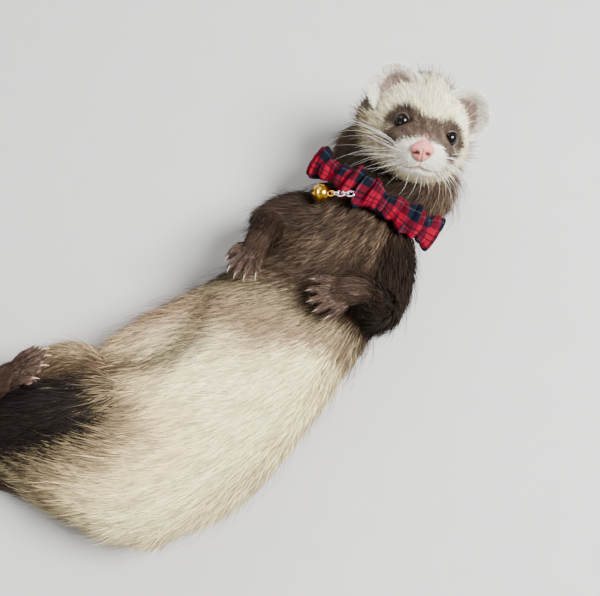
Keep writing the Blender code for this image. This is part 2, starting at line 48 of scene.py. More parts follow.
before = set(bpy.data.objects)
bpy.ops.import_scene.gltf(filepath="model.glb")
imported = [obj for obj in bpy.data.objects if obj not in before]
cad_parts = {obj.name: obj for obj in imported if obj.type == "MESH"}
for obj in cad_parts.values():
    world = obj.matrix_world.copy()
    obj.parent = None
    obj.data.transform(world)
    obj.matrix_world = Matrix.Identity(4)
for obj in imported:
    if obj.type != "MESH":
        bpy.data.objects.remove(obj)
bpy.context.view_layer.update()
MM = 0.001
UP = (0.0, 0.0, 1.0)

# The body's axis from inside the head to the tip of the tail: x, y, z, half width, half height.
SPINE = (
    (-36, 93, 47, 20, 18),
    (-33, 85, 39, 27, 22),
    (-28.5, 74, 33, 31.5, 24),
    (-24, 60, 29.5, 27, 22.5),
    (-18, 47, 27, 29, 24),
    (-9, 31, 26, 31.5, 26.5),
    (-1, 12, 26.5, 33.5, 27.5),
    (4, -12, 27, 38, 28),
    (8, -35, 27.5, 43, 29),
    (11, -60, 28.5, 48, 30),
    (13, -81, 28.5, 49, 30),
    (11, -97, 28.5, 44.5, 30),
    (0, -111, 28, 33.5, 29),
    (-15, -124, 26, 28.5, 27),
    (-31, -137, 21.5, 23, 22.5),
    (-48, -149, 16.5, 16.5, 17),
    (-66, -160, 12.5, 12.5, 13),
    (-86, -174, 10.5, 11, 11),
    (-103, -192, 9.5, 10, 10),
    (-112, -215, 8.3, 8.8, 8.8),
    (-114, -239, 6.3, 6.8, 6.8),
    (-111, -255, 4.5, 4.6, 4.6),
)
SPINE_STEPS = 5
# How deep the coat lies over the skin, against the row of the spine.
SPINE_COAT = ((0, 3.5), (4, 4.0), (7, 4.4), (11, 4.6), (15, 4.2), (19, 3.6), (21, 2.2))
FLOOR_COAT = 1.0
# The least half size of a length of the body under its coat.
THINNEST = 0.6

# The head: the tip of the nose, and which way the face and the crown point.
HEAD_TIP = (-14.5, 72.1, 82.0)
HEAD_FORWARD = (0.440, -0.425, 0.791)
HEAD_CROWN = (-0.428, 0.675, 0.601)
# Sections of the head: distance behind the tip, half width, height above the tip, depth below it.
HEAD = (
    (0.6, 3.6, 2.6, 3.2),
    (2.2, 6.0, 4.0, 5.6),
    (5.0, 9.0, 5.8, 8.6),
    (9.0, 12.2, 8.2, 11.4),
    (14.5, 15.8, 11.8, 14.8),
    (21.0, 19.4, 17.4, 18.4),
    (29.0, 23.6, 23.6, 21.4),
    (38.0, 26.8, 27.4, 23.4),
    (47.0, 26.9, 26.8, 23.2),
    (55.5, 23.9, 22.2, 20.2),
    (62.5, 17.6, 14.6, 13.8),
    (66.0, 9.4, 7.0, 7.8),
)
HEAD_LENGTH = 67.0
# The back of the head stands this far to the side of the line through the nose.
HEAD_SWING = -2.8
# How far the muzzle rolls towards the ferret's left at the nose.
NOSE_ROLL = math.radians(11)
# How deep the coat lies over the head, against the distance behind the tip.
HEAD_COAT = ((0, 0.25), (5, 0.5), (9, 0.7), (15, 1.1), (21, 1.7), (29, 2.6), (38, 3.4), (67, 3.6))

# Swells and hollows of the face: height, then the middle and the reach to the left, to the crown and behind.
# On both sides are the whiskers' pad, the eye's socket and the cheek; in the middle, the chin and the brow.
SIDE_SWELLS = (
    (1.25, (4.6, -4.0, 5.5), (3.6, 3.4, 4.6)),
    (-1.5, (10.9, 6.6, 17.5), (4.6, 4.6, 5.0)),
    (0.7, (12.5, -1.0, 15.0), (5.0, 4.5, 6.0)),
)
MIDDLE_SWELLS = (
    (0.9, (0.0, -10.0, 8.5), (5.0, 2.4, 5.0)),
    (0.6, (0.0, 10.5, 13.0), (4.0, 3.5, 5.0)),
)

# The left eye and ear, which the right ones mirror, the mask, nose and mouth. Places are to the left, to the
# crown and behind the tip, and ways are to the left, to the crown and ahead.
EYE_PLACE = (10.9, 6.4, 19.8)
EYE_AXIS = (0.46, 0.17, 0.87)
EYE_RADIUS = 3.7
LID_OPENING = (3.25, 3.2)
# The dark band across the face: how far behind the tip it starts and ends, against the turn up from the side.
MASK_START = ((-30, 13), (-20, 11), (-10, 8.4), (6, 6.6), (29, 5.0), (59, 4.2), (90, 5.2))
MASK_END = ((-30, 13), (-12, 16), (0, 18), (18, 21), (34, 22.6), (50, 20.6), (70, 17.9), (90, 16.8))
NOSE_PLACE = (0.0, 0.5, 1.8)
NOSE_RADII = (5.3, 4.9, 3.2)
# The line of the mouth from its corner to the middle: how far to the side, and how far below the tip.
MOUTH = ((12.6, -7.0), (10.2, -8.0), (7.2, -8.4), (4.4, -8.2), (1.8, -7.4), (0.0, -6.9))
EAR_PLACE = (15.6, 15.6, 33.5)
EAR_LEAN = (0.83, 0.55, -0.06)
EAR_FACE = (0.08, 0.06, 0.99)
EAR_RADII = (12.2, 11.6)
EAR_CUP = 4.6
EAR_THICKNESS = 1.5

# Legs: rows of x, y, z, half width, half height along each length of the leg.
FORELEGS = {
    "right": (
        ((-22, 36, 31, 13, 13), (-31, 27, 34, 13, 12.5), (-36, 18, 36, 12, 11.5), (-37.5, 10, 38, 10.5, 10)),
        (
            (-37, 12, 37.5, 10, 10), (-35.6, 8, 43.5, 9.2, 8.8),
            (-32.6, 4, 49, 8.2, 7.4), (-30.2, 1, 51.5, 6.8, 6.2),
        ),
    ),
    "left": (
        ((-4, 50, 32, 14, 13.5), (8, 44, 33, 13.5, 13), (18, 35.5, 34, 12.5, 12), (24, 27, 36, 11, 11)),
        (
            (24, 29, 37, 10.5, 10.5), (22.8, 25.4, 48, 10, 9.6),
            (19, 22.4, 57, 8.7, 7.9), (15.8, 20.2, 61.2, 7.4, 6.5),
        ),
    ),
}
HINDLEGS = {
    "right": (
        (
            (-31, -118, 22, 20, 20), (-27, -107, 29, 19.5, 18),
            (-18, -100, 39, 16.5, 15), (-9, -97, 47, 13, 12),
        ),
        ((-8, -101, 47, 13, 12), (-15, -114, 50, 14, 12.5), (-22, -130, 49, 12, 11), (-28, -145, 46, 9.4, 9)),
    ),
    "left": (
        (
            (4, -122, 24, 24, 22), (18, -119, 25, 22.5, 21.5),
            (32, -114, 25.5, 19.5, 19), (41, -109, 25.5, 16, 16),
        ),
        ((40, -111, 25, 15, 15), (22, -126, 22, 14.5, 14), (6, -140, 18, 11.5, 11.5), (-4, -148, 14, 9, 9)),
    ),
}
LEG_STEPS = 6
FORELEG_COAT = 2.2
HINDLEG_COAT = 3.0

# Paws: the rows of the sole and the way its back faces, then the spread, lengths and sizes of the toes.
FOREPAWS = {
    "right": (
        ((-31.4, 2.2, 51.5, 6, 5.3), (-29, -2.8, 53.4, 6.2, 4.9), (-26.6, -7.8, 54.4, 6.3, 4.1)),
        (-0.35, 0.1, 0.93),
    ),
    "left": (
        ((17.5, 22.5, 61, 6.4, 5.6), (14.9, 17.3, 62.6, 6.7, 5.1), (12.7, 12.1, 62.4, 6.8, 4.3)),
        (0.12, 0.05, 0.99),
    ),
}
HINDPAWS = {
    "right": (
        (
            (-29, -148, 47, 7.6, 6.8),
            (-34, -143, 52, 7.2, 5.8),
            (-36.5, -132, 56, 7.2, 4.8),
            (-36, -121, 58, 7.8, 4.2),
        ),
        (-0.62, 0.0, 0.78),
    ),
    "left": (
        (
            (-4, -149, 12.5, 8, 7.6),
            (-11, -156, 8.6, 7.4, 6.6),
            (-20, -165, 6.4, 7.4, 5.2),
            (-27.5, -172, 5.2, 8, 4.4),
        ),
        (0.15, -0.1, 0.98),
    ),
}
PAW_STEPS = 5
PAW_COAT = 1.1
TOE_SPREAD = (-20, -9.5, -1, 7.5, 17)
TOE_LENGTHS = (7.2, 11.0, 12.4, 12.0, 9.6)
TOE_RADIUS = 2.0
TOE_COAT = 0.5
CLAW_LENGTH = 4.4
CLAW_RADIUS = 0.58
CLAW_DROP = 1.3

# The collar: its middle, its axis, the half sizes inside its ring, its width in the solids and its bunches.
COLLAR_PLACE = (-24.0, 60.0, 29.5)
COLLAR_AXIS = (-0.346, 0.864, 0.366)
COLLAR_INNER = (27.9, 23.2)
COLLAR_WIDTH = 16.0
COLLAR_BUNCHES = 8
COLLAR_START = 0.9
# Points round the collar, and round its section.
COLLAR_STEPS = 900
COLLAR_SIDES = 44
# The cloth laid flat, in metres.
CLOTH_FLAT = (0.24, 0.036)

# The bell's middle, and where the chain ends on the collar.
BELL_PLACE = (-33.1, 34.0, 51.6)
BELL_RADIUS = 4.3
CHAIN_END = (-25.0, 42.3, 56.0)
CHAIN_LINKS = 4
LINK_WIRE = 0.42
LINK_HALF_LENGTH = 1.75
LINK_HALF_WIDTH = 1.15
# Points along a link, and round its wire.
LINK_STEPS = 36
LINK_SIDES = 12

# The photo's camera: its turn and rise in degrees, what it looks at and from how far.
CAMERA_TURN = 56.0
CAMERA_RISE = 75.0
CAMERA_TARGET = (0.0, 0.0, 40.0)
CAMERA_DISTANCE = 380.0
LENS = 50.0
SENSOR = 36.0
# Name, the way to it, distance and size in metres, and power of each lamp.
LIGHTS = (
    ("key", (0.45, 0.60, 1.0), 1.1, 0.5, 41.0),
    ("fill", (-0.9, 0.1, 0.9), 1.3, 0.9, 8.0),
    ("low", (0.2, -1.0, 0.6), 1.4, 0.9, 7.0),
)

# Seen from above: where the sable chest ends on the belly, as x and y; the crease beside the belly, brown
# with its own fur and with painted shade of the fold; and the light streaks between the forelegs, painted
# sheen on the silky fur and partly lighter hairs.
CHEST_EDGE = ((-60, -58), (-30, -44), (-22, -31), (-9, -20), (10, -12), (22, 1), (33, 10), (60, 26))
CREASE = ((-42, -112), (-33, -103), (-21, -92), (-12, -76), (-6, -61), (-8, -46), (-17, -32))
CHEST_SHEEN_STREAK = ((-27, 34), (-19, 14), (-9, 34), (1, 49))
# Colours that occur in one place only, as linear red, green and blue.
THIGH_EDGE_COLOUR = (0.80, 0.57, 0.29)
TOE_COLOUR = (0.22, 0.15, 0.12)
# The inside of the ear: its brownish-pink skin and hair, darkened with painted shade of the hollow.
EAR_INSIDE_COLOUR_AND_SHADE = (0.135, 0.085, 0.066)
# What the colours of a node group are before a material sets them.
GREY = (0.5, 0.5, 0.5, 1.0)

# How long the tufts are, against the distance behind the tip of the nose and against the row of the spine.
HEAD_HAIR = ((0, 0.9), (4, 1.2), (9, 2.0), (15, 3.0), (21, 4.4), (29, 6.2), (38, 7.4), (50, 8.4))
TRUNK_HAIR = ((0, 8), (3.5, 8.5), (5, 8.5), (7, 8), (9, 7.6), (12, 8.8), (15, 11), (19, 10), (21, 8))
# Length, width against a body tuft's and lift in degrees.
LIMB_HAIR = {
    "ear": (2.6, 0.42, 20),
    "foreleg": (8.5, 0.8, 20),
    "hindleg": (8.5, 0.9, 20),
    "forepaw": (3.3, 0.5, 16),
    "hindpaw": (3.0, 0.55, 15),
}
# A blade has three stretches, each with its share of the length and of the lift, and seven corners: three
# pairs and the tip. The widths are those of the pairs, and the faces are its triangles.
BLADE_BENDS = ((0.36, 1.35), (0.34, 0.65), (0.30, 0.05))
BLADE_WIDTHS = (1.0, 0.92, 0.6)
BLADE_FACES = np.array([[0, 1, 3], [0, 3, 2], [2, 3, 5], [2, 5, 4], [4, 5, 6]])

# The nodes of the solids that the skin stands for.
FLESH = (
    "head", "ear_left", "ear_right", "neck", "chest", "belly", "rump", "tail",
    "foreleg_left", "foreleg_right", "forepaw_left", "forepaw_right",
    "hindleg_left", "hindleg_right", "hindpaw_left", "hindpaw_right",
)
# The most tufts in one piece of the coat, how much of the unwrap a tuft takes, and how many points are
# measured against a length of the body at a time.
MOST_TUFTS = 39000
PATCH = 0.003
CHUNK = 20000


class FerretSizes(bpy.types.PropertyGroup):
    """Sizes that change the look of the coat and the small parts."""

    coat_tufts: IntProperty(
        name="Coat tufts", description="How many tufts the whole coat has", default=272000
    )
    coat_length: FloatProperty(
        name="Coat length", description="Length of the coat against its own", default=1.0
    )
    tuft_width: FloatProperty(
        name="Tuft width", description="Width of a body tuft at its root", default=0.00038, unit="LENGTH"
    )
    whisker_length: FloatProperty(
        name="Whisker length", description="Length of the longest whisker", default=0.046, unit="LENGTH"
    )
    gathers: IntProperty(
        name="Collar folds", description="How many fine folds go round the collar", default=32
    )


def colour_property(name, description, default):
    """One colour of the palette."""
    return FloatVectorProperty(name=name, description=description, default=default, subtype="COLOR", size=3)


class FerretColours(bpy.types.PropertyGroup):
    """Colours of the coat, skin, cloth and metal, as linear red, green and blue."""

    cream: colour_property("Cream", "Belly, brow and cheeks", (0.99, 0.87, 0.48))
    white: colour_property("White", "Muzzle, chin and ear rims", (0.95, 0.90, 0.78))
    tan: colour_property("Tan", "Where the belly meets the dark parts", (0.37, 0.245, 0.152))
    mask: colour_property("Mask", "Band across the eyes", (0.070, 0.045, 0.033))
    sable: colour_property("Sable", "Chest, neck, back and legs", (0.036, 0.021, 0.0135))
    dark: colour_property("Dark", "Tips, tail and hind legs", (0.0105, 0.0068, 0.0055))
    skin: colour_property("Bare skin", "Nose, lips, toes and ears", (0.56, 0.24, 0.19))
    cloth_red: colour_property("Cloth red", "Ground of the plaid", (0.25, 0.0012, 0.017))
    cloth_dark: colour_property("Cloth dark", "Wide bands of the plaid", (0.003, 0.0055, 0.012))
    cloth_wine: colour_property("Cloth wine", "Where red and dark threads cross", (0.045, 0.003, 0.010))
    cloth_pale: colour_property("Cloth pale", "Thin lines of the plaid", (0.20, 0.17, 0.20))
    gold: colour_property("Bell", "Metal of the bell", (0.80, 0.44, 0.045))
    silver: colour_property("Chain", "Metal of the chain", (0.80, 0.80, 0.82))


def unit(vector):
    """One vector brought to length one."""
    vector = np.asarray(vector, float)
    return vector / np.linalg.norm(vector)


def ways(vectors):
    """Each row brought to length one."""
    return vectors / np.maximum(np.linalg.norm(vectors, axis=-1, keepdims=True), 1e-12)


def step(low, high, value):
    """0 below low, 1 above high and a smooth rise between."""
    t = np.clip((value - low) / (high - low), 0.0, 1.0)
    return t * t * (3 - 2 * t)


def bump(value, middle, reach):
    """A bell curve: 1 at the middle and exp(-1) one reach away."""
    return np.exp(-(((value - middle) / reach) ** 2))


def looked_up(value, table):
    """The second column of a table, read between its rows at a value of the first."""
    return np.interp(value, *np.array(table, float).T)


def circle(count):
    """Angles evenly round a full turn."""
    return np.linspace(0, 2 * math.pi, count, endpoint=False)


def mirrored(place, side):
    """A place or way given for the left, on side 1, the left, or side -1, the right."""
    return np.array(place) * (side, 1, 1)


def path_distance(spots, path):
    """How far each flat point is from a path of straight stretches."""
    path = np.asarray(path, float)
    away = np.full(len(spots), 1e9)
    for start, end in zip(path, path[1:]):
        run = end - start
        share = np.clip((spots - start) @ run / (run @ run), 0, 1)
        away = np.minimum(away, np.linalg.norm(spots - start - share[:, None] * run, axis=1))
    return away


def spline(rows, steps):
    """Points of a smooth curve through the rows, with the same number of steps from each to the next."""
    rows = np.asarray(rows, float)
    padded = np.vstack([2 * rows[0] - rows[1], rows, 2 * rows[-1] - rows[-2]])
    t = np.linspace(0, 1, steps, endpoint=False)[:, None]
    spans = []
    for before, start, end, after in zip(padded, padded[1:], padded[2:], padded[3:]):
        bend = 2 * before - 5 * start + 4 * end - after
        twist = 3 * start - before - 3 * end + after
        spans.append(0.5 * (2 * start + (end - before) * t + bend * t**2 + twist * t**3))
    return np.vstack(spans + [rows[-1:]])


def frames(points, up):
    """The way forward, the way to the side and the outward way of each point of a path."""
    ends = np.pad(np.gradient(points, axis=0), ((2, 2), (0, 0)), mode="edge")
    forward = ways(sum(ends[k : k + len(points)] * weight for k, weight in enumerate((1, 2, 3, 2, 1))))
    side = ways(np.cross(forward, np.asarray(up, float)))
    return forward, side, np.cross(side, forward)


FORWARD = unit(HEAD_FORWARD)
CROWN = unit(np.asarray(HEAD_CROWN) - FORWARD * np.dot(HEAD_CROWN, FORWARD))
LEFT = np.cross(CROWN, FORWARD)
HEAD_AXES = np.array([LEFT, CROWN, -FORWARD])


def twisted(local, share):
    """Head points rolled about the head's length near the nose, and swung to the side at its back.

    With share 1 they are rolled and swung, and with share -1 it is undone.
    """
    swing = HEAD_SWING * step(18.0, 42.0, local[..., 2])
    angle = share * NOSE_ROLL * (1 - step(2.0, 15.0, local[..., 2]))
    before, after = (swing, 0) if share < 0 else (0, swing)
    left = (local[..., 0] - before) * np.cos(angle) - local[..., 1] * np.sin(angle) + after
    crown = (local[..., 0] - before) * np.sin(angle) + local[..., 1] * np.cos(angle)
    return np.stack([left, crown, local[..., 2]], -1)


def head_points(local):
    """Places in the body's axes of points given as left, crown and behind the tip."""
    return np.asarray(HEAD_TIP) + twisted(np.asarray(local, float), 1) @ HEAD_AXES


def head_local(points):
    """How far points given in the body's axes are to the left, to the crown and behind the tip."""
    return twisted((points - np.asarray(HEAD_TIP)) @ HEAD_AXES.T, -1)


def head_way(left, crown, ahead):
    """A way in the body's axes from its shares to the left, to the crown and ahead."""
    return unit(left * LEFT + crown * CROWN + ahead * FORWARD)


def box_middle(node):
    """The middle of a node's box in the frame, in metres."""
    low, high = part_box(node)
    return (np.array(low) + np.array(high)) / 2


# The middles of the eyes and ears in the body's axes, left first, and where those axes stand in the frame, in
# metres, which is found from the two eyes.
EYES, EARS = (
    [head_points(mirrored(place, mirror)) for mirror in (1, -1)] for place in (EYE_PLACE, EAR_PLACE)
)
PLACE = (box_middle("eye_left") + box_middle("eye_right")) / 2 - (EYES[0] + EYES[1]) / 2 * MM


# Meshes from points and faces.


def mesh_object(name, points, faces, material=None, origin=PLACE):
    """An object from points in millimetres from an origin, and arrays of faces of equal length."""
    faces = [np.asarray(group, np.int32) for group in faces if len(group)]
    corners = np.concatenate([group.ravel() for group in faces])
    totals = np.concatenate([np.full(len(group), group.shape[1], np.int32) for group in faces])
    starts = np.concatenate([[0], np.cumsum(totals)[:-1]]).astype(np.int32)
    mesh = bpy.data.meshes.new(name)
    mesh.vertices.add(len(points))
    mesh.vertices.foreach_set("co", (np.asarray(points) * MM + origin).astype(np.float32).ravel())
    mesh.loops.add(len(corners))
    mesh.loops.foreach_set("vertex_index", corners)
    mesh.polygons.add(len(totals))
    mesh.polygons.foreach_set("loop_start", starts)
    mesh.polygons.foreach_set("use_smooth", np.ones(len(totals), bool))
    mesh.update(calc_edges=True)
    made = bpy.data.objects.new(name, mesh)
    bpy.context.scene.collection.objects.link(made)
    if material:
        mesh.materials.append(material)
    return made


def triples(items, name, kind=np.float32):
    """Three numbers of each vertex or triangle of a mesh, a row for each."""
    values = np.empty(len(items) * 3, kind)
    items.foreach_get(name, values)
    return values.reshape(-1, 3)


def grid_faces(rows, columns, loop_rows=False):
    """Quads of a grid of points whose rows close on themselves, and whose last row may join its first."""
    row = np.arange(rows if loop_rows else rows - 1)[:, None]
    column = np.arange(columns)
    after, beside = (row + 1) % rows, (column + 1) % columns
    pairs = ((row, column), (row, beside), (after, beside), (after, column))
    return np.stack([one * columns + other for one, other in pairs], -1).reshape(-1, 4)


def outward(points, quads, fans):
    """The same faces, turned over where the closed surface that they make is inside out."""
    volume = 0.0
    for group in (quads[:, [0, 1, 2]], quads[:, [0, 2, 3]], fans):
        if len(group):
            a, b, c = (points[group[:, k]] for k in range(3))
            volume += (a * np.cross(b, c)).sum()
    return (quads, fans) if volume > 0 else (quads[:, ::-1], fans[:, ::-1])


def closed_grid(rings):
    """Points, quads and end fans of a closed surface through rings of points."""
    rows, columns = rings.shape[:2]
    points = np.vstack([rings.reshape(-1, 3), rings[0].mean(0), rings[-1].mean(0)])
    around = np.arange(columns)
    after = (around + 1) % columns
    first = np.stack([np.full(columns, rows * columns), after, around], -1)
    base = (rows - 1) * columns
    last = np.stack([np.full(columns, rows * columns + 1), base + around, base + after], -1)
    quads, fans = outward(points, grid_faces(rows, columns), np.vstack([first, last]))
    return points, quads, fans


def looped_grid(rings):
    """Points and quads of a closed surface whose last ring joins its first."""
    rows, columns = rings.shape[:2]
    points = rings.reshape(-1, 3)
    quads, _ = outward(points, grid_faces(rows, columns, loop_rows=True), np.zeros((0, 3), int))
    return points, quads, np.zeros((0, 3), int)


def joined(parts):
    """One set of points, quads and fans from several."""
    points, quads, fans, start = [], [], [], 0
    for part in parts:
        points.append(part[0])
        quads.append(part[1] + start)
        fans.append(part[2] + start)
        start += len(part[0])
    return np.vstack(points), np.vstack(quads), np.vstack(fans)


def tube(centres, course, sizes, sides, cap=7):
    """A closed tube of ellipses across a path, with a rounded dome at each end.

    A point of a ring is centre + side * width * cos(turn) + out * height * sin(turn).
    """
    forward, side, out = course
    rise = np.linspace(0, math.pi / 2, cap + 1)[1:] * 0.985
    first, last = sizes[0].min(), sizes[-1].min()
    path = np.vstack([
        (centres[0] - np.outer(np.sin(rise) * first, forward[0]))[::-1],
        centres,
        centres[-1] + np.outer(np.sin(rise) * last, forward[-1]),
    ])
    size = np.vstack([np.outer(np.cos(rise), sizes[0])[::-1], sizes, np.outer(np.cos(rise), sizes[-1])])
    side, out = (
        np.vstack([np.repeat(way[:1], cap, 0), way, np.repeat(way[-1:], cap, 0)]) for way in (side, out)
    )
    turn = circle(sides)
    across = side[:, None] * (np.cos(turn) * size[:, :1])[..., None]
    along = out[:, None] * (np.sin(turn) * size[:, 1:2])[..., None]
    return closed_grid(path[:, None] + across + along)


def ball(centre, radii, axes, rows, columns, shape=None):
    """A stretched ball: poles along the last axis; shape moves its points, given them on the unit ball."""
    fall = np.linspace(0, math.pi, rows + 2)[1:-1]
    turn = circle(columns)
    x = np.outer(np.sin(fall), np.cos(turn))
    y = np.outer(np.sin(fall), np.sin(turn))
    z = np.repeat(np.cos(fall)[:, None], columns, 1)
    rays = np.stack([x, y, z], -1)
    local = rays * radii if shape is None else shape(rays)
    return closed_grid(np.asarray(centre) + local @ np.asarray(axes))


def dressed(parts, name, material, replaces=()):
    """An object of the joined parts that rides on the body and takes the given material."""
    points, quads, fans = parts
    made = mesh_object(name, points, [quads, fans], material)
    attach(made, "root")
    if replaces:
        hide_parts(*replaces)
    return made


def evaluated(target):
    """Replaces an object's mesh by what its modifiers make of it, and drops them."""
    graph = bpy.context.evaluated_depsgraph_get()
    graph.update()
    mesh = bpy.data.meshes.new_from_object(target.evaluated_get(graph))
    target.modifiers.clear()
    old = target.data
    target.data = mesh
    bpy.data.meshes.remove(old)
    return target


def remeshed(target, voxel, rounds):
    """Melts overlapping closed shells into one skin, and smooths the creases where they met."""
    melt = target.modifiers.new("melt", "REMESH")
    melt.mode = "VOXEL"
    melt.voxel_size = voxel
    ease = target.modifiers.new("ease", "SMOOTH")
    ease.factor = 0.5
    ease.iterations = rounds
    return evaluated(target)


def united(target, others):
    """One union of closed objects, which are then removed."""
    group = bpy.data.collections.new("operands")
    bpy.context.scene.collection.children.link(group)
    for item in others:
        group.objects.link(item)
    join = target.modifiers.new("join", "BOOLEAN")
    join.operation = "UNION"
    join.operand_type = "COLLECTION"
    join.collection = group
    join.solver = "MANIFOLD"
    evaluated(target)
    for item in others:
        bpy.data.objects.remove(item)
    bpy.data.collections.remove(group)
    return target


# The body's lengths, which shape the skin and lead the coat.


def bone(kind, rows, steps, up, coat):
    """A length of the body: its path, half sizes less the coat's depth, and the lie of the coat along it."""
    table = spline(rows, steps)
    centres = table[:, :3]
    course = frames(centres, up)
    return {
        "kind": kind,
        "centres": centres,
        "course": course,
        "sizes": np.maximum(table[:, 3:5] - np.reshape(coat, (-1, 1)), THINNEST),
        "pitch": np.linalg.norm(np.diff(centres, axis=0), axis=1).mean(),
        "lie": course[0].copy(),
    }


def spine_bone():
    """The trunk, from inside the head to the tip of the tail."""
    rows = np.arange(len(SPINE), dtype=float)
    coat = looked_up(spline(rows[:, None], SPINE_STEPS)[:, 0], SPINE_COAT)
    return bone("trunk", SPINE, SPINE_STEPS, UP, coat)


def toes_of(sole, back, scale, mirror):
    """The path of each toe and of its claw, fanned out from the knuckles."""
    table = spline(sole, 3)
    back = unit(back)
    ahead = unit(table[-1, :3] - table[-2, :3])
    across = unit(np.cross(ahead, back))
    back = np.cross(across, ahead)
    knuckles, half = table[-1, :3], table[-1, 3]
    made = []
    for spread, length in zip(TOE_SPREAD, TOE_LENGTHS):
        angle = math.radians(spread)
        way = ahead * math.cos(angle) + across * math.sin(angle) * mirror
        root = knuckles + across * mirror * half * 2.5 * math.sin(angle) - ahead * 1.5
        tip = root + way * length * scale
        toe = [root, root + way * length * scale * 0.5 + back * 0.9, tip]
        claw = [
            tip - way * 0.6,
            tip + way * CLAW_LENGTH * 0.5 + back * 0.25,
            tip + way * CLAW_LENGTH - back * CLAW_DROP,
        ]
        made.append((np.array(toe), np.array(claw), back, way, across))
    return made


PAWS = [
    (kind, 1 if side == "left" else -1, *table[side], scale)
    for kind, table, scale in (("forepaw", FOREPAWS, 1.0), ("hindpaw", HINDPAWS, 1.15))
    for side in ("left", "right")
]


def all_bones():
    """The trunk, the lengths of the legs, the soles and the toes."""
    bones = [spine_bone()]
    for kind, legs, coat in (("foreleg", FORELEGS, FORELEG_COAT), ("hindleg", HINDLEGS, HINDLEG_COAT)):
        for upper, lower in legs.values():
            first, second = (bone(kind, rows, LEG_STEPS, UP, coat) for rows in (upper, lower))
            if kind == "hindleg":
                first["lie"][:] = unit((-0.25, -1, -0.1))
            share = step(0.0, 0.55, np.linspace(0, 1, len(second["lie"])))[:, None]
            second["lie"] = ways(first["lie"][-1] * (1 - share) + second["lie"] * share)
            bones += [first, second]
    for kind, mirror, sole, back, scale in PAWS:
        bones.append(bone(kind, sole, PAW_STEPS, unit(back), PAW_COAT))
        for toe, _, rise, _, _ in toes_of(sole, back, scale, mirror):
            sizes = TOE_RADIUS * np.array([0.95, 1.0, 0.88])[:, None] * np.ones((1, 2))
            bones.append(bone(kind, np.hstack([toe, sizes]), 4, rise, TOE_COAT))
    return bones


BONES = all_bones()
TOE_TIPS = [
    toe[-1] for _, mirror, sole, back, scale in PAWS for toe, *_ in toes_of(sole, back, scale, mirror)
]


def from_toes(points):
    """How far each point is from the nearest tip of a toe."""
    return np.min([np.linalg.norm(points - tip, axis=1) for tip in TOE_TIPS], 0)


def head_sizes(behind):
    """Half width, height above and depth below of the head's skin, at a distance behind the tip."""
    table = spline(HEAD, 4).T
    coat = looked_up(behind, HEAD_COAT)
    return [np.maximum(np.interp(behind, table[0], table[k]) - coat, 0.3) for k in (1, 2, 3)]


def mouth_distance(left, crown):
    """How far a point of the face is from the line of the mouth, looking along the face."""
    half = np.array(MOUTH, float)
    line = spline(np.vstack([half, (half * (-1, 1))[-2::-1]]), 8)
    return path_distance(np.stack([left, crown], -1).reshape(-1, 2), line).reshape(np.shape(left))


def eye_axes(mirror):
    """An eye's ways to the side, up and ahead."""
    ahead = head_way(*mirrored(EYE_AXIS, mirror))
    side = unit(np.cross(CROWN, ahead))
    return side, np.cross(ahead, side), ahead


def ear_axes(mirror):
    """An ear's ways across it, from its base to its rim, and out of its cup."""
    lean = head_way(*mirrored(EAR_LEAN, mirror))
    face = head_way(*mirrored(EAR_FACE, mirror))
    face = unit(face - lean * np.dot(face, lean))
    return np.cross(lean, face), lean, face


def swell(local, height, middle, reach):
    """A rounded swell or hollow: height * exp(-d * d), where d is the distance from its middle in reaches."""
    for k in range(3):
        height = height * bump(local[..., k], middle[k], reach[k])
    return height


def head_skin():
    """The head: sections across its length, pushed in or out from the surface by swells and the mouth."""
    behind = np.concatenate([np.linspace(1.9, 26, 128), np.linspace(26, 66.4, 46)[1:]])
    turn = circle(216)
    width, above, below = (size[:, None] for size in head_sizes(behind))
    left = width * np.cos(turn)
    crown = np.where(np.sin(turn) > 0, above, below) * np.sin(turn)
    back = np.repeat(behind[:, None], len(turn), 1)
    local = np.stack([left, crown, back], -1)
    across = np.roll(local, -1, 1) - np.roll(local, 1, 1)
    along = np.gradient(local, axis=0)
    normal = ways(np.cross(along, across))
    normal *= np.sign((normal * (local - (0, 0, 30))).sum(-1, keepdims=True))
    push = np.zeros(left.shape)
    for mirror in (1, -1):
        for height, middle, reach in SIDE_SWELLS:
            push += swell(local * (mirror, 1, 1), height, middle, reach)
    push -= 2.0 * bump(left, 0, 3.6) * bump(crown, 0.5, 3.2) * (1 - step(2, 5, back))
    for height, middle, reach in MIDDLE_SWELLS:
        push += swell(local, height, middle, reach)
    # The mouth: a groove along its line with a lip beside it, and a short groove from it up to the nose.
    away = mouth_distance(left, crown)
    open_here = (1 - step(17, 22, back)) * (crown < 0) * step(12, 7, np.abs(left))
    push -= open_here * 0.9 * bump(away, 0, 0.7)
    push += open_here * 0.35 * bump(away, 1.5, 0.7)
    push -= 0.55 * bump(left, 0, 0.45) * bump(crown, -5.0, 1.6) * (back < 12)
    points = head_points((local + normal * push[..., None]).reshape(-1, 3))
    for mirror, centre in zip((1, -1), EYES):
        points = round_eye(points, centre, eye_axes(mirror))
    return closed_grid(points.reshape(*left.shape, 3))


def round_eye(points, centre, axes):
    """Lids: by the eye the skin stays a lid's thickness off the ball, and drops behind it in the opening."""
    side, over, ahead = axes
    ray = points - centre
    away = np.linalg.norm(ray, axis=1)
    way = ray / away[:, None]
    front = way @ ahead > 0
    across = (way @ side) * EYE_RADIUS / LID_OPENING[0]
    up = (way @ over) * EYE_RADIUS / LID_OPENING[1]
    almond = across**2 + up**2
    lid = np.maximum(away, EYE_RADIUS + 0.55 * np.exp(-np.maximum(almond - 1, 0) * 0.4))
    wanted = np.where(front & (almond < 1), EYE_RADIUS - 0.9, np.where(front, lid, away))
    near = away < EYE_RADIUS * 2.2
    return np.where(near[:, None], centre + way * wanted[:, None], points)


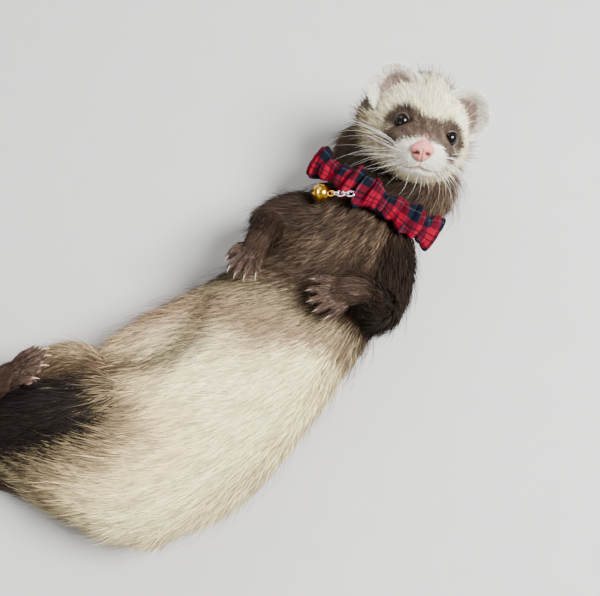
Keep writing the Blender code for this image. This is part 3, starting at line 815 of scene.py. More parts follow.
def ear_skin(mirror):
    """An ear: a cup whose lift grows with the square of the way out, with a rolled rim and a fold inside."""
    across, lean, face = ear_axes(mirror)
    front_rows = 22
    out = np.concatenate([np.linspace(0.05, 1, front_rows), np.linspace(0.985, 0.2, 18)])
    front = np.arange(len(out)) < front_rows
    turn = circle(72)
    wall = 0.5 * EAR_THICKNESS * np.sqrt(np.maximum(0, 1 - out**8)) * np.where(front, 1, -1)
    lift = (EAR_CUP * (out**2 - 0.5) + wall)[:, None] * np.ones(len(turn))
    fold = bump(out[:, None], 0.55, 0.12) * np.maximum(0, np.cos(turn - math.radians(250)))
    lift = lift + np.where(front, 1, 0)[:, None] * 0.9 * fold
    rings = (
        head_points(mirrored(EAR_PLACE, mirror))
        + across * (out[:, None] * np.cos(turn) * EAR_RADII[0])[..., None]
        + lean * (out[:, None] * np.sin(turn) * EAR_RADII[1])[..., None]
        + face * lift[..., None]
    )
    return closed_grid(rings)


# Where a point lies on the body, and what grows there.


def along_bone(points, item):
    """How near each point is to a length of the body, in half sizes, and its coat's way, row and turn."""
    count = len(points)
    reach, row, angle = np.full(count, 1e9), np.zeros(count), np.zeros(count)
    way = np.zeros((count, 3))
    centres, sizes = item["centres"], item["sizes"]
    low, high = centres.min(0) - 60, centres.max(0) + 60
    inside = np.flatnonzero(((points > low) & (points < high)).all(1))
    for start in range(0, len(inside), CHUNK):
        some = inside[start : start + CHUNK]
        ray = points[some, None] - centres
        ahead, across, out = (np.einsum("pkj,kj->pk", ray, axis) for axis in item["course"])
        far = (across / sizes[:, 0]) ** 2 + (out / sizes[:, 1]) ** 2 + (ahead / sizes.min(1)) ** 2
        best = far.argmin(1)
        pick = np.arange(len(some)), best
        reach[some] = np.sqrt(far[pick])
        way[some] = item["lie"][best]
        row[some] = best + np.clip(ahead[pick] / item["pitch"], -0.5, 0.5)
        angle[some] = np.degrees(np.arctan2(out[pick], across[pick])) % 360
    return reach, way, row, angle


def nearby(points, place):
    """Yields the kind, nearness and coat's way of the head and each length; notes the trunk's row."""
    left, crown, behind = place["head"].T
    width, above, below = head_sizes(np.clip(behind, 0.2, HEAD_LENGTH - 1))
    height = np.where(crown > 0, above, below)
    excess = np.maximum(-behind, 0) + np.maximum(behind - 58, 0)
    reach = np.sqrt((left / width) ** 2 + (crown / height) ** 2 + (excess / 9) ** 2)
    yield "head", reach, ways(points - head_points((0, 0, -2.0)))
    for item in BONES:
        reach, way, row, angle = along_bone(points, item)
        if item["kind"] == "trunk":
            place.update(row=row / SPINE_STEPS, angle=angle)
        yield item["kind"], reach, way


def survey(points):
    """For each point: its place on the spine, head and nearest lengths, and the way the coat lies there."""
    count = len(points)
    nearest = np.full(count, 1e9)
    kind = np.zeros(count, "U8")
    pull = np.zeros((count, 3))
    weights = np.zeros(count)
    place = {"points": points, "head": head_local(points)}
    off_head = np.zeros(count, bool)
    for name, reach, way in nearby(points, place):
        weight = np.exp(-14 * np.clip(reach, 0, 6))
        weights = weights + weight
        pull = pull + weight[:, None] * way
        kind[reach < nearest] = name
        nearest = np.minimum(nearest, reach)
        if name == "head":
            off_head = reach > 0.99
    ear, cup, base_side = np.zeros((3, count))
    for mirror, centre in zip((1, -1), EARS):
        across, lean, face = ear_axes(mirror)
        ray = points - centre
        u, v, w = ray @ across / EAR_RADII[0], ray @ lean / EAR_RADII[1], ray @ face
        out = np.sqrt(u * u + v * v)
        lift = w - EAR_CUP * (out**2 - 0.5)
        here = (out < 1.12) & (np.abs(lift) < 1.6) & off_head
        ear = np.where(here, out + 0.001, ear)
        cup = np.where(here & (lift > 0), 1.0, cup)
        base_side = np.where(here & (v < 0.3), 1.0, base_side)
        pull[here] = lean * 0.8 + across * np.sign(u[here])[:, None] * 0.2
        weights[here] = 1.0
    kind[ear > 0] = "ear"
    flow = pull / np.maximum(weights, 1e-9)[:, None]
    place.update(kind=kind, flow=flow, ear=ear, cup=cup, base_side=base_side)
    return place


def waves(points, size, seed, count=10):
    """Smooth noise from about -1 to 1 and its slope: a sum of sine waves in scattered directions."""
    rng = np.random.default_rng(seed)
    ways_out = ways(rng.normal(size=(count, 3))) * (2 * math.pi / (size * rng.uniform(0.7, 1.5, (count, 1))))
    phase = rng.uniform(0, 2 * math.pi, count)
    turn = points @ ways_out.T + phase
    value = np.sin(turn).sum(1) / math.sqrt(count / 2) * 0.6
    slope = np.cos(turn) @ ways(ways_out) / math.sqrt(count / 2)
    return value, slope


def colours():
    """The colours set in the sidebar."""
    return bpy.context.scene.ferret_colours


def sizes():
    """The sizes set in the sidebar."""
    return bpy.context.scene.ferret_sizes


def palette(*names):
    """Some of the colours, as arrays."""
    return [np.array(getattr(colours(), name)) for name in names]


def mixed(base, share, other):
    """Colours moved by a share of the way to another."""
    return base + share[:, None] * (np.asarray(other, float) - base)


def layered(base, layers):
    """Colours with each layer's share and colour laid over them in turn."""
    for share, colour in layers:
        base = mixed(base, share, colour)
    return base


def trunk_markings(place, patchy, fine, grain, streak):
    """Colour and share of dark tips on the trunk.

    The chest, back, right thigh and tail are sable and the belly cream, with a brown crease on its right; the
    crease's brown and the thigh's dark are partly painted shade.
    """
    cream, tan, sable, dark = palette("cream", "tan", "sable", "dark")
    points, row = place["points"], place["row"]
    x, y, z = points.T
    from_top = np.abs((place["angle"] + 5 * fine + 90) % 360 - 180)
    back = step(96, 126, from_top)
    # How far a point is ahead of the chest's edge, and how wide the change to cream is there.
    ahead = y - looked_up(x, CHEST_EDGE) + 2.2 * patchy + 1.6 * fine + 2.5 * grain
    reach = np.interp(x, (-30, 8, 30), (23, 17, 7))
    chest = step(-0.4, 1.1, ahead / reach)
    # How deep a point is in the corner that the right thigh fills.
    across = x - 12 - 0.35 * np.minimum(0, y + 110)
    depth = -6 * np.logaddexp(across / 6, (y + 89 - 1.16 * np.minimum(0, x + 16)) / 6)
    depth = depth + 1.8 * patchy + 1.5 * fine + 2.5 * grain
    high_up = step(24, 34, z)
    # Near the crease: its brown is partly the fur's own and partly painted shade of the fold.
    crease = bump(path_distance(points[:, :2], CREASE) + 1.2 * fine + 0.8 * grain, 0, 6.0) * step(26, 34, z)
    # Light streaks between the forelegs: painted sheen on the silky fur, and partly lighter hairs.
    light = chest * bump(path_distance(points[:, :2], CHEST_SHEEN_STREAK) + 2.5 * fine, 0, 6.5)
    bands, _ = waves(points, 11.0, 5)
    neck = 1 - step(3.2, 4.2, row)
    base = layered(np.repeat(cream[None], len(points), 0), (
        # The change from cream to sable.
        (0.8 * np.exp(-(((ahead + reach * 0.35) / reach) ** 2)), tan * (0.95, 0.9, 0.85)),
        (0.7 * np.exp(-(((ahead + 3) / (0.55 * reach)) ** 2)), tan * (0.55, 0.5, 0.5)),
        (0.7 * step(-8, -26, x + 3 * fine) * step(0, -10, ahead), tan * 1.1),
        # The warm edge of the thigh, and the crease: the fur's own brown with painted shade of the fold.
        (0.65 * step(-36, -8, depth) * high_up * (y < -50), THIGH_EDGE_COLOUR),
        (0.9 * crease * step(-30, -62, y), tan * 0.26),
        (0.9 * crease * step(-66, -44, y), tan * 0.42),
        # The back and flanks.
        (0.75 * back, tan * 0.62),
        (0.45 * step(70, 92, from_top) * (1 - back) * (y < 0), tan),
        # The chest, its light streaks of painted sheen and partly lighter hairs, and the neck.
        (chest, sable + 0.35 * (tan * 0.5 - sable)),
        (0.8 * step(12, 34, ahead), sable),
        (0.42 * light * step(-1.8, 1.6, streak + 1.1 * bands), tan * 0.7),
        (chest * 0.25 * step(0.2, 1.4, streak), tan * 0.5),
        (0.65 * neck * step(45, 80, from_top) * step(-0.9, 0.8, fine), tan * 0.8),
        # The right thigh, dark with its own fur and with painted shade, and the dark end of the body.
        (0.7 * bump(depth, -3, 7) * high_up * (y < -80), tan * (0.42, 0.36, 0.34)),
        # Deep in the thigh's corner: the dark fur is partly painted shade.
        (step(-8, 8, depth + 2.5 * grain) * high_up, dark),
        (0.85 * step(14.2, 15.8, row + 0.3 * patchy), sable),
        (step(15.8, 16.8, row), dark * 1.8),
    ))
    tips = 0.05 + 0.5 * step(62, 96, from_top) + 0.35 * back
    return base, np.maximum(tips, 0.5 * chest + 0.5 * crease)


def mark_legs(place, base, tips, fine, grain):
    """Colours the legs and paws, over the trunk's colours: sable, and paler towards the toes."""
    tan, sable = palette("tan", "sable")
    x, y, z = place["points"].T
    kind = place["kind"]
    foreleg, hindleg, paw = kind == "foreleg", kind == "hindleg", np.isin(kind, ("forepaw", "hindpaw"))
    arm = np.where(x > 0, 0.42, 0.95)[foreleg, None] * sable
    base[foreleg] = mixed(arm, 0.2 * step(0.2, 1.5, fine[foreleg]), tan * 0.5)
    left_hind = hindleg & (x > 4)
    base[left_hind] = mixed(base[left_hind], 0.5 * step(-118, -130, y[left_hind]), sable)
    right_hind = hindleg & ~left_hind
    low_down = step(38, 12, (z + 3 * fine + 2 * grain)[right_hind])
    base[right_hind] = mixed(base[right_hind], 0.9 * low_down, sable)
    toes = 0.04 + 0.24 * step(11, 1, from_toes(place["points"][paw]))
    base[paw] = mixed(np.repeat(sable[None] * 1.15, paw.sum(), 0), toes, TOE_COLOUR)
    tips[foreleg | hindleg | paw] = 0.3


def head_markings(place, patchy, fine, grain, swirl):
    """Colour and share of dark tips on the head, in its own axes: pale, with a dark band across the eyes."""
    cream, white, tan, mask, sable = palette("cream", "white", "tan", "mask", "sable")
    left, crown, behind = place["head"].T
    around = np.degrees(np.arctan2(crown, np.abs(left)))
    low = looked_up(around, MASK_START) + 0.5 * fine + 0.6 * grain
    high = looked_up(around, MASK_END) + 0.8 * fine + 1.3 * grain
    inside = step(low - 1.0, low + 1.2, behind) * (1 - step(high - 2.4, high + 1.2, behind))
    inside = inside * step(-30, 0, around + 2 * fine)
    from_eye = np.linalg.norm(np.stack([np.abs(left), crown, behind], -1) - EYE_PLACE, axis=1)
    inside = np.maximum(inside, 1 - step(5.8, 8.2, from_eye + 0.6 * fine + 0.5 * grain))
    ring = 1 - step(4.0, 7.0, from_eye)
    side = 1 - step(-5, 50, around + 6 * fine)
    below_eye = step(9, 12, behind) * (1 - step(17, 22, behind))
    below_eye = below_eye * (1 - step(-16, 4, around)) * step(-55, -34, around)
    # The cheeks are darker on the ferret's right.
    darker = step(2, -6, left)
    cheek = step(11, 18, behind) * (1 - step(-6, 30, around)) * (0.55 + 0.25 * darker)
    cheek = cheek * step(-0.5 - 0.7 * darker, 1.0 - 0.4 * darker, swirl + 0.8 * grain)
    muzzle = step(3.5, 6, np.abs(left)) * (1 - step(13, 17, behind)) * step(3, -1, crown)
    nape = step(32, 46, behind + 2.5 * fine + 1.5 * grain + 8 * side)
    throat = step(23, 34, behind + 1.5 * fine) * (1 - step(-62, -22, around))
    face = np.repeat(0.65 * cream[None] + 0.35 * white, len(left), 0) * 0.95
    base = layered(face, (
        (0.8 * (1 - step(7, 16, behind)), white),
        (0.2 * step(19, 24, behind) * step(20, 60, around), white),
        (0.8 * step(22, 36, behind + 2 * patchy) * side * step(-1.1, 0.5, swirl + grain), tan * 0.6),
        (0.5 * below_eye * step(-1.2, 0.8, grain), tan * 0.45),
        (cheek, tan * 0.65),
        (0.16 * step(18, 24, behind) * step(0.3, 1.3, grain), tan),
        (0.30 * muzzle * step(-0.6, 1.0, swirl), tan * 1.4),
        # The mask, and the darkest fur round the eyes.
        (0.98 * inside, mask),
        (0.18 * inside * step(0.1, 1.2, swirl), tan),
        (0.75 * ring * np.maximum(inside, 0.4), mask * 0.5),
        (0.85 * nape, tan * 0.3),
        (0.85 * throat, sable * 1.6),
    ))
    return base, 0.04 + 0.5 * step(27, 42, behind) + 0.3 * inside


def bare_skin(place, on_head):
    """The share of bare skin: the bridge above the nose, the lips and the inside of the ears."""
    left, crown, behind = place["head"].T
    ear = place["ear"]
    bare = np.where(ear > 0, 0.15 * place["cup"] * (1 - step(0.6, 0.85, ear)), 0.0)
    lips = bump(mouth_distance(left, crown), 0, 1.2) * (behind < 17) * (crown < 0) * step(9, 5, np.abs(left))
    bridge = 0.65 * bump(left, 0, 3.2) * bump(crown, 5.0, 2.2) * (behind < 9)
    return np.where(on_head, np.maximum(bare, np.maximum(0.55 * lips, bridge)), bare)


def markings(place):
    """The coat's colour at each point, the share of its dark tips and the bare skin's share."""
    points, kind, ear = place["points"], place["kind"], place["ear"]
    patchy, fine, grain = (waves(points, size, seed)[0] for size, seed in ((16.0, 3), (5.0, 4), (1.1, 12)))
    angle = np.radians(place["angle"])
    streak, _ = waves(np.stack([place["row"] * 1.8, 26 * np.cos(angle), 26 * np.sin(angle)], -1), 4.0, 8)
    stripe, _ = waves(points * (1, 1, 0.4), 2.0, 9)
    swirl, _ = waves(place["head"] * (1, 1, 0.22), 2.6, 10)
    base, tips = trunk_markings(place, patchy, fine, grain, streak)
    mark_legs(place, base, tips, fine, grain)
    on_head = np.isin(kind, ("head", "ear"))
    face, head_tips = head_markings(place, patchy, fine, grain, swirl)
    base[on_head], tips[on_head] = face[on_head], head_tips[on_head]
    # Inside the cup: the ear's own brownish colour, darkened with painted shade of the hollow.
    inner = 0.9 * place["cup"] * (1 - step(0.55, 0.80, ear + 0.08 * fine))
    rim = np.repeat(palette("white")[0][None], len(points), 0)
    base[ear > 0] = mixed(rim, inner, EAR_INSIDE_COLOUR_AND_SHADE)[ear > 0]
    tips[ear > 0] = 0.0
    on_legs = np.isin(kind, ("foreleg", "hindleg", "forepaw", "hindpaw"))
    strength = np.where(on_head, swirl, np.where(on_legs, stripe, streak))
    base = base * (1 + 0.13 * strength[:, None])
    return np.clip(base, 0.003, 1), np.clip(tips, 0, 1), bare_skin(place, on_head)


# Materials.


def add_node(nodes, kind, operation=None, **inputs):
    """A shader node, with its named inputs set; a space in an input's name is written as an underscore."""
    made = nodes.new("ShaderNode" + kind)
    if operation:
        made.operation = operation
    set_inputs(made, **inputs)
    return made


def set_inputs(node, **inputs):
    """Sets a node's inputs, named as in add_node."""
    for name, value in inputs.items():
        node.inputs[name.replace("_", " ")].default_value = value


def effect_group(name, inputs, wire):
    """A node group with a Colour and a Height, made once: wire makes its nodes between its two ends."""
    if name in bpy.data.node_groups:
        return bpy.data.node_groups[name]
    group = bpy.data.node_groups.new(name, "ShaderNodeTree")
    for socket, value in inputs.items():
        kind = "NodeSocketFloat" if isinstance(value, float) else "NodeSocketColor"
        made = group.interface.new_socket(name=socket, in_out="INPUT", socket_type=kind)
        made.default_value = value
    for socket, kind in (("Colour", "NodeSocketColor"), ("Height", "NodeSocketFloat")):
        group.interface.new_socket(name=socket, in_out="OUTPUT", socket_type=kind)
    given, put = group.nodes.new("NodeGroupInput"), group.nodes.new("NodeGroupOutput")
    wire(group.nodes, group.links, given.outputs, put.inputs)
    return group


def mottle_group():
    """Soft blotches: a colour varied in brightness by noise on Object coordinates; the noise as a height."""

    def wire(nodes, links, given, put):
        """Noise as a brightness from one less the amount up to one."""
        place = add_node(nodes, "TexCoord")
        noise = add_node(nodes, "TexNoise", Detail=4.0)
        span = add_node(nodes, "MapRange", From_Min=0.3, From_Max=0.7, To_Max=1.0)
        less = add_node(nodes, "Math", "SUBTRACT", Value=1.0)
        tint = add_node(nodes, "VectorMath", "SCALE")
        for source, target in (
            (place.outputs["Object"], noise.inputs["Vector"]),
            (given["Scale"], noise.inputs["Scale"]),
            (noise.outputs["Fac"], span.inputs["Value"]),
            (given["Amount"], less.inputs[1]),
            (less.outputs[0], span.inputs["To Min"]),
            (given["Colour"], tint.inputs[0]),
            (span.outputs["Result"], tint.inputs["Scale"]),
            (tint.outputs["Vector"], put["Colour"]),
            (noise.outputs["Fac"], put["Height"]),
        ):
            links.new(source, target)

    return effect_group("soft_mottle", {"Colour": GREY, "Scale": 900.0, "Amount": 0.2}, wire)


def plaid_group():
    """A plaid on a cloth's own map: red ground, wine under one way's band, dark where two bands cross."""

    def wire(nodes, links, given, put):
        """The bands of both ways of the cloth, shaded by the slanting threads of the twill."""

        def maths(operation, *values):
            """One operation on numbers and other nodes' results."""
            node = add_node(nodes, "Math", operation)
            for slot, value in zip(node.inputs, values):
                if isinstance(value, (int, float)):
                    slot.default_value = value
                else:
                    links.new(value, slot)
            return node.outputs[0]

        def mix(share, first, second):
            """A colour part of the way from the first to the second."""
            node = add_node(nodes, "Mix")
            node.data_type = "RGBA"
            for slot, value in ((0, share), (6, first), (7, second)):
                links.new(value, node.inputs[slot])
            return node.outputs[2]

        def band(along, middle, half):
            """1 within half a band's width of its middle."""
            return maths("LESS_THAN", maths("ABSOLUTE", maths("SUBTRACT", along, middle)), half)

        def sett(axis):
            """Bands along one way of the cloth: one wide, with a pale line inside it, and two narrow."""
            along = maths("FRACT", maths("DIVIDE", axis, given["Repeat"]))
            narrow = maths("MAXIMUM", band(along, 0.70, 0.02), band(along, 0.84, 0.02))
            return maths("MAXIMUM", band(along, 0.28, 0.25), narrow), band(along, 0.28, 0.014)

        place = add_node(nodes, "UVMap")
        place.uv_map = "cloth"
        split = add_node(nodes, "SeparateXYZ")
        links.new(place.outputs["UV"], split.inputs[0])
        u, v = split.outputs["X"], split.outputs["Y"]
        threads = maths("DIVIDE", maths("ADD", u, v), given["Thread"])
        twill = maths("MULTIPLY_ADD", maths("SINE", maths("MULTIPLY", threads, 6.2832)), 0.5, 0.5)
        (across, first), (down, second) = sett(u), sett(v)
        one = maths("MULTIPLY", maths("MAXIMUM", across, down), maths("MULTIPLY_ADD", twill, 0.3, 0.62))
        both = maths("MULTIPLY", across, down)
        cloth = mix(both, mix(one, given["Ground"], given["Wine"]), given["Band"])
        line = maths("MULTIPLY", maths("MAXIMUM", first, second), 0.16)
        links.new(mix(line, cloth, given["Line"]), put["Colour"])
        links.new(twill, put["Height"])

    inputs = {"Ground": GREY, "Wine": GREY, "Band": GREY, "Line": GREY, "Repeat": 0.014, "Thread": 0.0005}
    return effect_group("woven_plaid", inputs, wire)


def raised(made, height, strength, distance):
    """Gives a material a fine bump from a node's height."""
    nodes, links = made.node_tree.nodes, made.node_tree.links
    rise = add_node(nodes, "Bump", Strength=strength, Distance=distance)
    links.new(height, rise.inputs["Height"])
    links.new(rise.outputs["Normal"], nodes["Principled BSDF"].inputs["Normal"])


def group_node(nodes, tree, **inputs):
    """A node that stands for a group, with its named inputs set."""
    made = nodes.new("ShaderNodeGroup")
    made.node_tree = tree
    set_inputs(made, **inputs)
    return made


def material(name, colour, roughness=0.5, metallic=0.0, mottle=0.0, scale=900.0, height=0.0, distance=0.0002):
    """A Principled material whose colour is varied by soft mottle, with the same noise as a fine bump."""
    made = bpy.data.materials.new(name)
    made.use_nodes = True
    made.diffuse_color = (*colour, 1.0)
    nodes, links = made.node_tree.nodes, made.node_tree.links
    shader = nodes["Principled BSDF"]
    set_inputs(shader, Base_Color=(*colour, 1.0), Roughness=roughness, Metallic=metallic)
    if mottle:
        patch = group_node(nodes, mottle_group(), Colour=(*colour, 1.0), Scale=scale, Amount=mottle)
        links.new(patch.outputs["Colour"], shader.inputs["Base Color"])
        if height:
            raised(made, patch.outputs["Height"], height, distance)
    return made


def painted_material(name, roughness, mottle, scale, height):
    """A material that takes its colour from the mesh's own coat attribute."""
    made = material(name, (0.5, 0.4, 0.3), roughness, 0.0, mottle, scale, height, 0.0003)
    nodes = made.node_tree.nodes
    colour = add_node(nodes, "VertexColor")
    colour.layer_name = "coat"
    patch = next(node for node in nodes if node.type == "GROUP")
    made.node_tree.links.new(colour.outputs["Color"], patch.inputs["Colour"])
    set_inputs(nodes["Principled BSDF"], Specular_IOR_Level=0.1)
    return made


def paint(mesh, shades):
    """Puts a colour on each point of a mesh as its coat attribute."""
    layer = mesh.color_attributes.new("coat", "FLOAT_COLOR", "POINT")
    values = np.concatenate([shades, np.ones((len(shades), 1))], 1).astype(np.float32)
    layer.data.foreach_set("color", values.ravel())


# The pieces.


def melted(name, items, sides, cap, lowest, voxel, rounds):
    """Lengths of the body as closed tubes, held above the floor and melted into one."""
    tubes = [tube(item["centres"], item["course"], item["sizes"], sides, cap) for item in items]
    points, quads, fans = joined(tubes)
    points[:, 2] = np.maximum(points[:, 2], lowest)
    return remeshed(mesh_object(name, points, [quads, fans]), voxel, rounds)


def make_skin():
    """One skin: the trunk and legs melted together, with paws, head and ears fused on."""
    in_paws = ["paw" in item["kind"] for item in BONES]
    trunk_bones = [item for item, in_paw in zip(BONES, in_paws) if not in_paw]
    paw_bones = [item for item, in_paw in zip(BONES, in_paws) if in_paw]
    trunk = melted("trunk", trunk_bones, 40, 7, FLOOR_COAT, 0.0017, 5)
    others = [melted("paws", paw_bones, 20, 4, 0.5, 0.0007, 2)]
    for name, part in (("head_skin", head_skin()), ("ear", ear_skin(1)), ("ear", ear_skin(-1))):
        others.append(mesh_object(name, part[0], part[1:]))
    skin = united(trunk, others)
    mesh = skin.data
    skin.name = mesh.name = "skin"
    mesh.polygons.foreach_set("use_smooth", np.ones(len(mesh.polygons), bool))
    mesh.materials.clear()
    mesh.materials.append(painted_material("skin", 0.7, 0.35, 1400.0, 0.6))
    base, _, bare = markings(survey((triples(mesh.vertices, "co") - PLACE) / MM))
    # The skin takes the coat's colour three quarters as bright: painted shade under the fur, and partly the
    # underfur's colour.
    paint(mesh, mixed(base * 0.75, bare, colours().skin))
    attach(skin, "root")
    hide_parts(*FLESH)
    return skin


def closeness(middle):
    """How close the tufts stand at each place: 1 on the trunk, and more on the head, paws and ears."""
    left, crown, behind = head_local(middle).T
    on_head = (np.abs(left) < 32) & (np.abs(crown) < 34) & (behind > -2) & (behind < 45)
    close = 1 + on_head * (3.2 - 1.6 * step(14, 40, behind))
    close -= 0.6 * step(5.0, 2.0, middle[:, 2])
    paws = np.array([item["centres"][-1] for item in BONES if "paw" in item["kind"]])
    close += 2.2 * (((middle[:, None] - paws) ** 2).sum(-1).min(1) < 11**2)
    for ear in EARS:
        close += 2.0 * (np.linalg.norm(middle - ear, axis=1) < 13)
    return close


def tufts_on(skin, count):
    """Roots spread over the skin at random, closer where the coat is short, with the skin's normals."""
    mesh = skin.data
    mesh.calc_loop_triangles()
    spots = (triples(mesh.vertices, "co") - PLACE) / MM
    normals = triples(mesh.vertices, "normal")
    faces = triples(mesh.loop_triangles, "vertices", np.int32)
    a, b, c = (spots[faces[:, k]] for k in range(3))
    area = np.linalg.norm(np.cross(b - a, c - a), axis=1) / 2
    chance = np.cumsum(area * closeness((a + b + c) / 3))
    rng = np.random.default_rng(11)
    picked = np.searchsorted(chance, rng.uniform(0, chance[-1], count))
    u, v = rng.uniform(size=(2, count))
    flip = u + v > 1
    u, v = np.where(flip, 1 - u, u), np.where(flip, 1 - v, v)
    shares = np.stack([1 - u - v, u, v], -1)[..., None]
    roots = (spots[faces[picked]] * shares).sum(1)
    return roots, ways((normals[faces[picked]] * shares).sum(1))


def coat_lengths(place):
    """Length, width and lift in degrees of each tuft, by where it grows."""
    kind, row = place["kind"], place["row"]
    _, crown, behind = place["head"].T
    from_top = np.abs((place["angle"] + 90) % 360 - 180)
    on_head = kind == "head"
    head = looked_up(behind, HEAD_HAIR)
    head = head + 1.6 * step(18, 32, behind) * step(15, -30, crown)
    trunk = looked_up(row, TRUNK_HAIR) + 2.5 * step(60, 95, from_top)
    length = np.where(on_head, head, trunk)
    width = np.where(on_head, 0.5 + 0.4 * step(16, 40, behind), 1.0)
    lift = np.where(on_head, 22 + 14 * step(14, 34, behind), 22 + 8 * step(55, 90, from_top))
    for name, values in LIMB_HAIR.items():
        here = kind == name
        length[here], width[here], lift[here] = values
    knuckles = step(9, 18, from_toes(place["points"])) * np.isin(kind, ("forepaw", "hindpaw"))
    return length + 4.0 * knuckles, width, lift


def chart(place):
    """Each root's place on an unwrap: the head spread out from its nose, the rest by row and turn."""
    left, crown, behind = place["head"].T
    around = np.arctan2(crown, left)
    reach = 0.22 * np.clip(behind, 0, 60) / 60
    on_head = (place["kind"] == "head") | (place["kind"] == "ear")
    u = np.where(on_head, 0.25 + reach * np.cos(around), 0.02 + 0.94 * (place["angle"] / 360))
    v = np.where(on_head, 0.25 + reach * np.sin(around), 0.52 + 0.45 * place["row"] / (len(SPINE) - 1))
    corners = {"foreleg": 0.52, "hindleg": 0.64, "forepaw": 0.76, "hindpaw": 0.88}
    x, y, z = place["points"].T
    for name, start in corners.items():
        here = place["kind"] == name
        span = np.stack([x, y + z], -1)[here]
        if len(span):
            low, high = span.min(0), span.max(0)
            spread = (span - low) / np.maximum(high - low, 1e-6)
            u[here], v[here] = start + 0.1 * spread[:, 0], 0.02 + 0.4 * spread[:, 1]
    return np.stack([u, v], -1)


def bare_places(roots, place):
    """Where no tuft grows: the eyes, the nose, the line of the mouth, in the ears and under the collar.

    In the ears one tuft in six stays, and against the floor one in two.
    """
    turn = np.arange(len(roots))
    left, crown, behind = place["head"].T
    bare = (mouth_distance(left, crown) < 0.55) & (behind < 16) & (crown < 0)
    nose = ((left - NOSE_PLACE[0]) / NOSE_RADII[0]) ** 2 + ((crown - NOSE_PLACE[1]) / NOSE_RADII[1]) ** 2
    bare |= (nose + ((behind - NOSE_PLACE[2]) / NOSE_RADII[2]) ** 2 < 1.35) & (behind < 6)
    for mirror, centre in zip((1, -1), EYES):
        ray = roots - centre
        bare |= (np.linalg.norm(ray, axis=1) < EYE_RADIUS + 0.95) & (ray @ eye_axes(mirror)[2] > 0.5)
    in_ear = (place["cup"] > 0) & ((place["ear"] < 0.72) | (place["base_side"] > 0))
    bare |= in_ear & (turn % 6 > 0)
    bare |= (roots[:, 2] < 1.6) & (turn % 2 > 0)
    ray = roots - np.asarray(COLLAR_PLACE)
    bare |= (np.abs(ray @ unit(COLLAR_AXIS)) < COLLAR_WIDTH / 2 - 2.5) & (np.linalg.norm(ray, axis=1) < 40)
    return bare


def combed(tufts):
    """Each tuft's way and length: outward on the flanks, and on the face short and away from the eyes."""
    roots, normals, length = tufts["points"], tufts["normals"], tufts["length"]
    on_head, trunk = tufts["kind"] == "head", tufts["kind"] == "trunk"
    facing_up = normals[:, 2]
    spread = 0.45 * step(0.95, 0.35, facing_up) * step(-0.9, -0.3, facing_up) * trunk
    droop = 0.4 * step(0.45, -0.1, facing_up) * trunk
    flow = tufts["flow"] + spread[:, None] * (normals * (1, 1, 0)) - droop[:, None] * np.array(UP)
    sweep = 0.38 * step(0.0, 0.7, facing_up) * step(-135, -105, roots[:, 1]) * trunk
    flow = flow - sweep[:, None] * np.array((1, 0, 0))
    for mirror, eye, ear in zip((1, -1), EYES, EARS):
        from_ear = np.linalg.norm(roots - ear, axis=1)
        length = length * (1 - 0.5 * (1 - step(11, 17, from_ear)) * on_head)
        ahead = eye_axes(mirror)[2]
        ray = roots - eye
        ray = ray - (ray @ ahead)[:, None] * ahead
        away = np.linalg.norm(ray, axis=1)
        near = bump(away, 3.5, 3.0) * (np.linalg.norm(roots - eye, axis=1) < 12)
        flow = flow + (1.7 * near / away)[:, None] * ray
        length = length * (1 - 0.5 * near)
    return flow, length


def flattened(flow, normals):
    """Ways with their part along the skin's normal taken out."""
    return flow - normals * (flow * normals).sum(1, keepdims=True)


def coat_blades(tufts, rng):
    """The seven corners of each blade: pairs at its root and first two bends, and its tip.

    A blade leaves the skin at its lift, bends down to lie along it and is drawn towards its clump.
    """
    roots, normals = tufts["points"], tufts["normals"]
    count = len(roots)
    flow, length = combed(tufts)
    flow = flow + 0.10 * rng.normal(size=(count, 3))
    _, bends = waves(roots, 34.0, 5)
    _, clumps = waves(roots, 4.2, 6, 14)
    flow = ways(flattened(flow + 0.14 * bends * np.isin(tufts["kind"], ("trunk", "head"))[:, None], normals))
    gather = flattened(clumps, normals)
    length = length * rng.uniform(0.7, 1.2, count)
    roll = rng.uniform(-0.9, 0.9, count)[:, None]
    across = np.cross(normals, flow) * np.cos(roll) + normals * np.sin(roll)
    lift = np.radians(tufts["lift"] * rng.uniform(0.55, 1.35, count))
    spots = [roots - normals * 0.25]
    for share, rise in BLADE_BENDS:
        way = flow * np.cos(lift * rise)[:, None] + normals * np.sin(lift * rise)[:, None]
        pull = gather * (0.028 * (len(spots) - 1)) * ~tufts["guard"][:, None]
        spots.append(spots[-1] + (way + pull) * (length * share)[:, None])
    half = sizes().tuft_width / MM / 2 * tufts["width"][:, None] * rng.uniform(0.75, 1.25, (count, 1))
    edges = []
    for spot, share in zip(spots, BLADE_WIDTHS):
        edges += [spot - across * half * share, spot + across * half * share]
    blades = np.stack([*edges, spots[3]], 1)
    blades[..., 2] = np.maximum(blades[..., 2], 0.12)
    return blades


